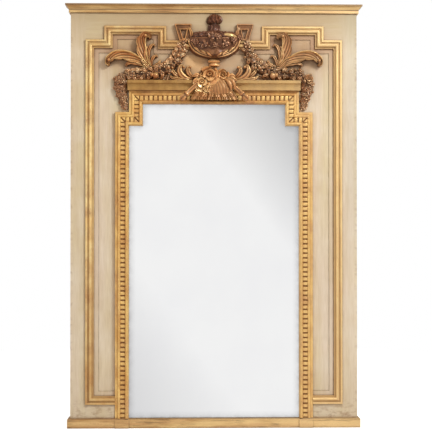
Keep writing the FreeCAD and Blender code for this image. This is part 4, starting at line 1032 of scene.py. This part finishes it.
def bowl_front(across, level, stand):
    """How far the bowl's face stands from the wall at this place."""
    radius = radius_at(BOWL_SIDE, level, BOWL_SIDE[0][0])
    return BED + bowl_squeeze(level) * math.sqrt(max(60.0, radius**2 - across**2)) + stand


def on_bowl(across, level, stand, half):
    """A point of a line over the bowl, as (across, depth, level, half width)."""
    return across, bowl_front(across, level, stand), level, half

# %% [markdown]
# Straps run from the handles down to the stem, and a swag of small flowers hangs across the front
# and over the rim.

# %% Straps and swag
STRAP = ((107, 1607), (103, 1587), (90, 1565), (68, 1546), (42, 1535), (14, 1530))
bm = new_work()
for side in (-1, 1):
    outer = [on_bowl(across, level, 3, 4.5) for across, level in STRAP]
    carve_leaf(bm, outer, ribs=1, rows=28, cup=0.1, ridge=3.0, side=side)
    inner = [on_bowl(across - 9, level + 3, 4, 2.2) for across, level in STRAP[1:5]]
    carve_leaf(bm, inner, ribs=1, rows=20, cup=0.1, ridge=2.0, side=side)
# The leaf over the rim has a negative tone, a painted highlight.
carve_leaf(bm, [(32, 88, 1619, 3), (50, 95, 1621, 8), (72, 95, 1617, 9), (94, 84, 1612, 3)], ribs=1, rows=12,
           cup=0.4, bed=62, tone=-0.6)
for side in (-1, 1):
    for share in range(3):
        start, level = 80 - share * 24, 1571 - share * 11
        line = [on_bowl(start, level, 2, 4), on_bowl(start - 8, level - 9, 5, 7),
                on_bowl(start - 20, level - 17, 3, 3)]
        carve_leaf(bm, line, ribs=1, rows=8, cup=0.3, ridge=1.8, lobes=3, side=side, tone=0.3)
finish_piece("urn_straps_carved", bm, golden)

bm = new_work()
chance = random.Random(11)
SWAG = ((-94, 1598), (-66, 1583), (-38, 1574), (0, 1570), (36, 1577), (64, 1592), (90, 1606), (112, 1616))
bunch(bm, [on_bowl(across, level, -3, 9) for across, level in SWAG], chance, step=17, flower=(5, 8), leaves=1)
SWAG_FLOWERS = (
    (-8, 1612, 16), (15, 1609, 12), (-38, 1579, 14), (46, 1583, 14), (78, 1599, 12), (104, 1611, 9),
    (-72, 1589, 10), (4, 1576, 10),
)
for across, level, size in SWAG_FLOWERS:
    plant(bm, "star" if size > 13 else "daisy", Vector((across, -bowl_front(across, level, 9), level)),
          (across / 160, -1, 0.25), across / 9, size)
    for number in range(3):
        turn = across + number * 2.1
        place = Vector((across, -bowl_front(across, level, 5), level)) + spoke(turn) * size * 0.6
        plant(bm, "leaf", place, (across / 160, -1, 0.2), math.pi / 2 - turn, size)
over_rim = [(-28, 86, 1611, 7), (-4, 90, 1615, 9), (24, 86, 1613, 7)]
bunch(bm, over_rim, chance, step=13, flower=(6, 9), leaves=1)
finish_piece("urn_flowers_carved", bm, russet)

# %% [markdown]
# The lid sweeps up in a hollow curve to a narrow neck, with two rows of leaves lapping down it like
# slates, and ends in a bud of overlapping scales.

# %% Lid
LID_MIDDLE = 62  # the depth of its axis, and of the sawn back
LID_FOOT = [(0, 1612.3), (102, 1612.3)]
LID_SIDE = [
    (104, 1615), (101, 1619), (86, 1623), (66, 1627), (46, 1630.5), (32, 1634), (25, 1638), (20.5, 1644),
    (19.5, 1652), (21, 1659), (22, 1663), (17, 1666), (16, 1669), (20, 1674), (23, 1681), (23, 1689),
    (20, 1697), (15, 1704), (8, 1709.5), (0, 1711),
]
LID_NECKS = ((1640, 1646), (1664.5, 1672))  # levels of its two hollows, where dirt stays


def lid_squeeze(level):
    return 0.36 + 0.5 * ease(level, 1618, 1645)


bm = new_work()
turned(bm, LID_FOOT + LID_SIDE, 64)
for vert in bm.verts:
    vert.co = Vector((vert.co.x, -LID_MIDDLE + vert.co.y * lid_squeeze(vert.co.z), vert.co.z))
mark(bm, bm.verts, 0.5)
for low, high in LID_NECKS:
    mark(bm, [vert for vert in bm.verts if low < vert.co.z < high], 1.0)
cut_back(bm, LID_MIDDLE)


def lid_place(turn, level, stand):
    """A point on the lid's face: turn is 0 in front and 90 degrees at the right edge."""
    radius = radius_at(LID_SIDE, level, LID_SIDE[0][0]) + stand
    return radius * math.sin(turn), LID_MIDDLE + radius * math.cos(turn) * lid_squeeze(level), level


def lid_leaves(turns, levels, halves, stands, swing=0.0, **shape):
    """A row of leaves on the lid. The swing turns their tips round it."""
    for turn in turns:
        line = [(*lid_place(turn + swing * number / len(levels), level, stand), half)
                for number, (level, half, stand) in enumerate(zip(levels, halves, stands))]
        carve_leaf(bm, line, bed=LID_MIDDLE, **shape)


lid_leaves([number * 0.3 for number in range(-4, 5)], (1636, 1629, 1622, 1615), (3, 9, 13, 6), (0, 2, 3, 6),
           ribs=2, rows=10, ridge=2.4, lobes=3, cut=0.3, tone=0.5)
lid_leaves([number * 0.55 for number in range(-2, 3)], (1640, 1648, 1656, 1663), (4, 6.5, 6, 2),
           (0.5, 1, 1.5, 3), ribs=1, rows=8, ridge=1.8, tone=0.35)
lid_leaves([number * 0.6 for number in range(-2, 3)], (1671, 1678, 1689, 1699, 1706), (3, 8, 10, 7, 3),
           (0.5, 1.0, 1.5, 1.5, 1), swing=0.8, ribs=1, rows=12, ridge=4.4, cup=0.9, tone=0.2)
lid_leaves([number * 0.6 - 0.4 for number in range(-1, 3)], (1670, 1675, 1682, 1689), (3, 8, 8, 2),
           (1.0, 2.0, 3.0, 3.0), swing=-0.7, ribs=1, rows=10, ridge=3.0, cup=0.9)
finish_piece("urn_lid_carved", bm, dusky, ["urn_lid"])

# %% [markdown]
# The handles are straight bars joined at angles, a fashion taken from Greek pots. Two loops of four
# corners are bridged into a flat frame and thickened, and its face is inset twice: once for the
# margin, and once for the channel along the bars.

# %% Handles
HANDLE_OUT = ((98, 1603), (143, 1598.5), (163, 1667), (94, 1667))
HANDLE_EYE = ((121, 1607), (129, 1607), (140, 1645), (112, 1645))
HANDLE_BACK, HANDLE_THICK = 60.3, 16.0


def loop_of(bm, corners, side):
    verts = [bm.verts.new((across * side, -HANDLE_BACK, level)) for across, level in corners]
    return [bm.edges.new(pair) for pair in zip(verts, verts[1:] + verts[:1])]


def sink(bm, faces, margin, depth, groove):
    """Insets the faces by a margin and moves what is left of them back by a depth."""
    bmesh.ops.inset_region(bm, faces=faces, thickness=margin, use_boundary=True, use_even_offset=True)
    moved = list({vert for face in faces for vert in face.verts})
    bmesh.ops.translate(bm, vec=(0, depth, 0), verts=moved)
    mark(bm, moved, groove)


def handle(side_name, side, finish):
    bm = new_work()
    bmesh.ops.bridge_loops(bm, edges=loop_of(bm, HANDLE_OUT, side) + loop_of(bm, HANDLE_EYE, side))
    made = bmesh.ops.extrude_face_region(bm, geom=bm.faces[:], use_keep_orig=True)["geom"]
    faces = only("BMFace", made)
    bmesh.ops.translate(bm, vec=(0, -HANDLE_THICK, 0), verts=only("BMVert", made))
    bmesh.ops.recalc_face_normals(bm, faces=bm.faces)
    sink(bm, faces, 3.2, 0.0, 0.0)
    sink(bm, faces, 0.9, 5.0, 0.7)
    line = [(98, 70, 1600, 5), (93, 76, 1618, 9), (97, 79, 1638, 8), (106, 76, 1650, 5), (110, 72, 1644, 3)]
    carve_leaf(bm, line, ribs=2, rows=14, cup=0.3, lobes=4, bed=HANDLE_BACK, side=side)
    finish_piece(f"urn_handle_{side_name}_carved", bm, finish, [f"urn_handle_{side_name}"], sharp=35)


handle("left", -1, golden)
handle("right", 1, bronze)

# %% [markdown]
# ## The bouquet
# A carved rose is read by its petals' edges. It is rings of points round a heart: every ring of
# petals is wider and lower than the one inside it, and its rim swells and steps back where one
# petal laps over the next.

# %% Rose
ROSE_AROUND = 48
ROSE_RINGS = ((0.22, 2), (0.62, 3), (1.0, 4))  # reach of each ring of petals, and how many
ROSE_STEPS = (  # from a petal's foot to its rim: (share of the way out, rise, groove)
    (0.03, -0.22, 0.8), (0.16, -0.15, 0.4), (0.42, -0.05, 0.0), (0.85, 0.04, 0.0), (1.0, -0.03, 0.0),
)


def carve_rose(bm, across, level, size, front, bed, chance):
    """Rings of petals round a tight heart. Each ring rises to its rim, and then drops behind it."""
    layer = groove_and_highlight_layer(bm)
    swing = chance.uniform(0, math.tau)
    turns = [math.tau * step / ROSE_AROUND for step in range(ROSE_AROUND)]
    heart = bm.verts.new((across + size * 0.06, -front + size * 0.12, level + size * 0.22))
    heart[layer] = 0.8
    rings, inner = [], [0.0] * ROSE_AROUND
    for number, (reach, petals) in enumerate(ROSE_RINGS):
        laps = [petals * (turn + swing + number * 1.1) / math.tau % 1.0 for turn in turns]
        outer = [size * reach * (0.78 + 0.2 * math.sin(math.pi * lap) ** 0.5 + 0.34 * (lap - 0.5))
                 for lap in laps]
        crown = front - min(front - bed, 26) * 0.5 * reach**2
        for share, rise, shade in ROSE_STEPS:
            ring = []
            for turn, lap, foot, rim in zip(turns, laps, inner, outer):
                out = foot + (rim - foot) * share
                shift = size * (1 - out / size)
                stand = crown + size * rise + size * (0.2 * (1 - lap) - 0.08) * share
                vert = bm.verts.new((across + out * math.cos(turn) + 0.06 * shift, -max(stand, bed + 1),
                                     level + out * math.sin(turn) + 0.22 * shift))
                seam = 0.8 * (lap < 0.05 or lap > 0.97) * (share < 0.95)
                # The petal rims get a painted highlight.
                vert[layer] = max(shade * (0.3 + 0.7 * lap), seam) - 0.6 * (share > 0.8)
                ring.append(vert)
            rings.append(ring)
        inner = [value * 0.985 for value in outer]
    for step in range(ROSE_AROUND):
        after = (step + 1) % ROSE_AROUND
        bm.faces.new((heart, rings[0][step], rings[0][after]))
        for near, far in zip(rings, rings[1:]):
            bm.faces.new((near[step], far[step], far[after], near[after]))
    stand_on_bed(bm, [heart, *(vert for ring in rings for vert in ring)], bed, 0.9)

# %% Drapery and fringe
CAP_BED, CAP_TOP = 92.3, 1434.0  # the cap's face, and the level of its top
FRINGE_TOP, FRINGE_FOOT, FRINGE_FRONT = 1426.0, 1350.0, 96.0  # levels, and depth from the wall
FRINGE_HALF, FRINGE_FLARE = 54.0, 44.0  # half its width at the top, and what the foot adds
PLEATS, FRINGE_ROWS = 26, 6
bm = new_work()
layer = groove_and_highlight_layer(bm)
for vert, over, share in sheet(bm, PLEATS * 4, FRINGE_ROWS * 6):
    share = 1 - share
    half = FRINGE_HALF + FRINGE_FLARE * share**1.1
    row = int(share * (FRINGE_ROWS - 0.01))
    lap = share * FRINGE_ROWS - row
    uneven = over + 0.03 * math.sin(over * 19) + 0.02 * math.sin(over * 41)
    pleat = abs(math.sin(PLEATS * math.pi * uneven / 2 + row * math.pi / 2 + 0.4 * math.sin(over * 7)))
    foot = FRINGE_FOOT + 3.5 * (1 - pleat) + 3 * over * over
    level = FRINGE_TOP + (foot - FRINGE_TOP) * share
    stand = (FRINGE_FRONT + 4.4 * pleat * share**0.5 + 2.4 * lap * pleat
             + 1.5 * math.sin(share * math.pi) - 2.4 * over**4)
    vert.co = Vector((half * over, -stand, level))
    vert[layer] = 0.32 + 0.6 * max(0.0, 1 - 1.2 * pleat) * min(1.0, share * 2) + 0.4 * max(0.0, 0.4 - lap)
stand_on_bed(bm, bm.verts[:], CAP_BED, 1.0)
SHELL = [
    (8, 97, 1434, 18), (18, 102, 1421, 34), (26, 106, 1404, 43), (29, 106, 1390, 45), (31, 102, 1375, 41),
]
FOLDS = [
    [(44, 100, 1436, 6), (58, 111, 1425, 9), (67, 112, 1406, 8), (69, 105, 1390, 4)],
    [(54, 102, 1440, 6), (73, 111, 1430, 8), (82, 110, 1412, 8), (85, 104, 1396, 4)],
]
carve_leaf(bm, SHELL, ribs=7, rows=18, cup=0.14, ridge=1.3, bed=CAP_BED, shade=0.32, tone=0.52)
for line in FOLDS:
    carve_leaf(bm, line, ribs=1, rows=18, cup=0.14, ridge=3, bed=CAP_BED, tone=0.52)
chance = random.Random(3)
for across, level, size, front in ((-22, 1449, 43, 112.5), (34, 1450, 30, 110)):
    carve_rose(bm, across, level, size, front, BED, chance)
yellow = new_work()
for across, level, size, front in ((-53, 1418, 35, 113), (-36, 1392, 17, 112), (-70, 1398, 14, 109)):
    carve_rose(yellow, across, level, size, front, CAP_BED, chance)
finish_piece("yellow_rose_carved", yellow, honey)

# %% [markdown]
# Loose leaves fill the gaps between the roses, and some lap out over the cap. A low mound behind
# them all closes what would show between the stems.

# %% Bouquet leaves
LOOSE = [
    [(-56, 90, 1446, 6), (-72, 98, 1453, 11), (-90, 94, 1448, 3)],
    [(-62, 100, 1434, 6), (-78, 104, 1430, 10), (-88, 99, 1416, 3)],
    [(56, 90, 1446, 6), (72, 96, 1452, 11), (88, 90, 1446, 3)],
    [(10, 92, 1446, 5), (10, 98, 1460, 8), (10, 92, 1476, 3)],
    [(58, 98, 1436, 5), (76, 104, 1438, 9), (94, 98, 1430, 3)],
]
for line in LOOSE:
    bed = BED if line[0][2] > CAP_TOP else CAP_BED
    carve_leaf(bm, line, ribs=2, rows=12, cup=0.3, lobes=3, cut=0.15, bed=bed)
bunch(bm, [(-74, 92, 1438, 8), (-70, 93, 1420, 7)], chance, bed=CAP_BED, step=12, flower=(5, 7))
bmesh.ops.create_uvsphere(bm, u_segments=24, v_segments=10, radius=1,
                          matrix=Matrix.Translation((0, -92, 1432)) @ Matrix.Diagonal((52, 9, 40, 1)))
finish_piece("rose_bouquet_carved", bm, orange, ["rose_bouquet"])

# %% [markdown]
# Two torches cross behind the roses. Each is turned with rings at its end and cut with flutes, so
# it is a spun profile, laid down at its slope.

# %% Torches
bm = new_work()
TORCH = [
    (0, -16), (8, -16), (9, 0), (9.6, 30), (10.4, 52), (12, 56), (12.5, 59), (9.5, 63), (9, 66), (12.5, 72),
    (14, 79), (12.5, 86), (7, 92), (0, 94),
]
TORCH_END, TORCH_LEAN = (72, 99.5, 1416), math.radians(134)
for side in (-1, 1):
    torch = new_work()
    turned(torch, TORCH, 32)
    layer = groove_and_highlight_layer(torch)
    for vert in torch.verts:
        turn = math.atan2(vert.co.y, vert.co.x)
        hollow = abs(math.cos(2 * turn)) ** 3 if -1 < vert.co.z < 53 or vert.co.z > 70 else 0.0
        vert[layer] = max(0.95 * hollow, float(61 < vert.co.z < 68))
        vert.co.xy *= 1 - 0.22 * hollow
    torch.transform(Matrix.Translation(at(TORCH_END, side)) @ Matrix.Rotation(TORCH_LEAN * side, 4, "Y"))
    bm.from_mesh(small_mesh("torch", torch))
finish_piece("torches_carved", bm, orange, ["torches"])

# %% [markdown]
# ## Scrolls, garlands, drops and leaves
# What is left is the same on both sides but for the flowers, so each is a function of the side.

# %% Scrolls beside the bouquet
SCROLL = [
    [(90, 62, 1440, 8), (108, 70, 1440, 12), (130, 75, 1452, 14), (143, 76, 1473, 13), (138, 73, 1494, 8),
     (126, 68, 1493, 4)],
    [(86, 60, 1446, 7), (98, 67, 1456, 10), (108, 71, 1470, 11), (108, 71, 1486, 8), (99, 66, 1492, 4)],
    [(92, 66, 1438, 6), (122, 72, 1437, 8), (152, 73, 1440, 9), (174, 68, 1446, 7), (184, 62, 1456, 3)],
    [(140, 64, 1446, 7), (158, 71, 1458, 10), (171, 69, 1474, 8), (173, 64, 1488, 4)],
]
SCROLL_BEADS = ((127, 70, 1490), (100, 70, 1489), (173, 70, 1487))


def scroll(side_name, side):
    bm = new_work()
    for line in SCROLL:
        carve_leaf(bm, line, ribs=2, rows=20, cup=0.4, lobes=4, cut=0.12, side=side)
    for bead in SCROLL_BEADS:
        ball(bm, at(bead, side), 6.0, around=14, up=8)
    roots = [(112, 52, 1448, 8), (140, 52, 1450, 9), (166, 52, 1448, 8)]
    bunch(bm, roots, random.Random(31 + side), side=side, step=14, flower=(7, 10), leaves=1)
    finish_piece(f"scroll_{side_name}_carved", bm, golden, [f"scroll_{side_name}"])

# %% Garlands
GARLAND = [
    (128, 62, 1602, 15), (134, 55, 1578, 19), (146, 50, 1546, 23), (162, 50, 1516, 26), (190, 50, 1489, 28),
    (226, 50, 1473, 27), (264, 50, 1464, 25), (306, 50, 1459, 24), (344, 50, 1459, 23), (372, 50, 1461, 18),
]
GARLAND_LEAVES = 26


def garland(side_name, side):
    """A stem with leaves thrown out by turns to both sides, under loose rows of flowers."""
    chance = random.Random(70 + side)
    bm = new_work()
    stem = [(across, 60, level, half * 0.8) for across, _, level, half in GARLAND]
    carve_leaf(bm, stem, ribs=2, rows=40, cup=0.4, side=side, tone=0.9)
    for number in range(GARLAND_LEAVES):
        share = (number + 0.5) / GARLAND_LEAVES
        here, ahead = along(GARLAND, share), heading(GARLAND, share, 0.03)
        run = Vector((ahead.x, 0, ahead.z)).normalized() * (1 if chance.random() < 0.6 else -1)
        over = Vector((run.z, 0, -run.x)) * (1 if number % 2 else -1)
        start = Vector((here.x, 0, here.z)) + over * here.w * 0.3
        bent = [start, start + over * here.w * 0.45 + run * 8, start + over * here.w * 0.85 + run * 20]
        leaf = [(place.x, depth, place.z, half) for place, depth, half in zip(bent, (66, 71, 63), (5, 9, 3))]
        carve_leaf(bm, leaf, ribs=2, rows=10, cup=0.35, lobes=3, side=side, tone=0.15)
    bunch(bm, GARLAND, chance, side=side, step=23, flower=(9, 16), leaves=1)
    below = [(184, 46, 1450, 13), (222, 46, 1444, 11), (256, 46, 1441, 9)]
    bunch(bm, below, chance, side=side, step=17, flower=(8, 12), leaves=1)
    for share, size in ((0.24, 6), (0.44, 7)):
        here = along(GARLAND, share)
        place = (here.x * side, -82 + size / 3, here.z - 4)
        fruit = ball(bm, place, size)
        mark(bm, [vert for vert in fruit if vert.co.y > place[1] + size * 0.2], 1.0)
    finish_piece(f"garland_{side_name}_carved", bm, bronze, [f"garland_{side_name}"])

# %% Drops
DROP_LEAF = [
    (384, 58, 1458, 12), (386, 62, 1436, 26), (385, 62, 1404, 27), (378, 60, 1356, 16), (371, 55, 1318, 9),
]
DROP = [
    (383, 47, 1460, 17), (387, 46, 1434, 31), (386, 46, 1404, 30), (382, 47, 1376, 24), (376, 48, 1350, 17),
    (372, 49, 1330, 13), (371, 50, 1318, 9),
]


def drop(side_name, side):
    """A tapering bunch hung from the garland's end. The right one has a rose near its top."""
    chance = random.Random(90 + side)
    bm = new_work()
    carve_leaf(bm, DROP_LEAF, ribs=2, rows=30, cup=0.4, side=side, tone=0.7)
    bunch(bm, DROP, chance, side=side, step=13, flower=(7.5, 10.5), leaves=0)
    if side > 0:
        carve_rose(bm, 390, 1438, 19, 100, 82, chance)
    finish_piece(f"drop_{side_name}_carved", bm, copper, [f"drop_{side_name}"])

# %% [markdown]
# The big acanthus leaves are bundles of ribbed fronds from one root. The tall one rises and curls
# its tip inwards and the other reaches out and rolls its tip under, and short curled leaves hide
# the root.

# %% Acanthus
PLUMES = [
    [(268, 62, 1490, 8), (286, 67, 1516, 15), (298, 70, 1550, 20), (302, 73, 1584, 21), (298, 76, 1608, 18),
     (284, 78, 1622, 13), (268, 77, 1620, 9), (262, 72, 1608, 5)],
    [(272, 60, 1492, 8), (304, 66, 1512, 15), (342, 70, 1530, 20), (382, 73, 1540, 21), (414, 75, 1536, 18),
     (435, 76, 1521, 14), (441, 72, 1506, 9), (432, 66, 1497, 5)],
]
SPRAYS = [  # a line, its ribs and its lobes
    ([(264, 60, 1494, 5), (272, 64, 1522, 8), (272, 66, 1550, 9), (263, 67, 1574, 8), (252, 66, 1584, 5),
      (244, 62, 1576, 3)], 2, 4),
    ([(262, 58, 1492, 5), (260, 62, 1512, 8), (252, 64, 1530, 8), (241, 63, 1538, 5), (234, 59, 1531, 3)],
     2, 3),
    ([(280, 58, 1492, 6), (310, 64, 1502, 10), (342, 66, 1508, 10), (362, 64, 1502, 7), (362, 59, 1492, 3)],
     2, 4),
    ([(262, 58, 1488, 6), (246, 63, 1494, 9), (230, 63, 1506, 8), (222, 60, 1520, 4)], 2, 3),
    ([(258, 56, 1484, 5), (240, 60, 1484, 8), (222, 60, 1492, 6), (212, 57, 1504, 3)], 2, 3),
    ([(276, 60, 1500, 5), (286, 65, 1530, 8), (283, 68, 1560, 8), (276, 68, 1576, 4)], 1, 3),
]
STRANDS, FLOW = 4, 5.0  # strands over a leaf's width, and how many of them run out along its edge


def carve_plume(bm, points, side):
    """A rolled leaf whose strands start at its inner edge and run out into the lobes of the outer one."""
    layer, grid = groove_and_highlight_layer(bm), sheet(bm, 36, 80)
    for vert, over, share in grid:
        here, _, width_way = frame_at(points, share, 0.015)
        phase = STRANDS * (over + 1) / 2 - FLOW * share
        crest = abs(math.sin(math.pi * phase)) ** 0.6
        lobe = abs(math.sin(math.pi * (STRANDS - FLOW * share))) ** 0.5
        half = here.w * (1 - 0.26 * (1 - lobe) * max(0.0, over) ** 2)
        rim = math.exp(-((over + 0.82) / 0.16) ** 2)
        hollow = 0.55 * here.w * (1 - over * over) * ease(share, 0.0, 0.3)
        lift = 3.0 * crest + 5.0 * rim - hollow + 2.0 * over
        vert.co = Vector((here.x, -here.y - lift * min(1.0, here.w / 8), here.z)) + width_way * half * over
        vert.co.x *= side
        vert.co.y = min(vert.co.y, -BED - 1)
        groove = min(1.0, max(0.0, 1 - crest * 1.3) + 0.4 * (1 - abs(over)))
        # The rolled rim and the strand tops get a painted highlight.
        vert[layer] = groove * (1 - rim) - 0.9 * rim - 0.3 * crest**6
    stand_on_bed(bm, [vert for vert, _, _ in grid], BED)


def acanthus(side_name, side):
    bm = new_work()
    for line, ribs, lobes in SPRAYS:
        carve_leaf(bm, line, ribs=ribs, rows=22, cup=0.4, lobes=lobes, cut=0.35, side=side, tone=0.1)
    for line in PLUMES:
        carve_plume(bm, line, side)
        tip = line[-3]
        ball(bm, (tip[0] * side, -tip[1] - 3, tip[2] - 4), 6.0, around=16)
    roots = [(250, 56, 1482, 9), (275, 56, 1486, 10), (300, 56, 1484, 9)]
    bunch(bm, roots, random.Random(50 + side), side=side, step=14, flower=(8, 11), leaves=1)
    ball(bm, at((242, 84, 1453), side), 12)
    ball(bm, at((256, 84, 1456), side), 8)
    finish_piece(f"acanthus_{side_name}_carved", bm, golden, [f"acanthus_{side_name}"])


for side_name, side in SIDES:
    scroll(side_name, side)
    garland(side_name, side)
    drop(side_name, side)
    acanthus(side_name, side)
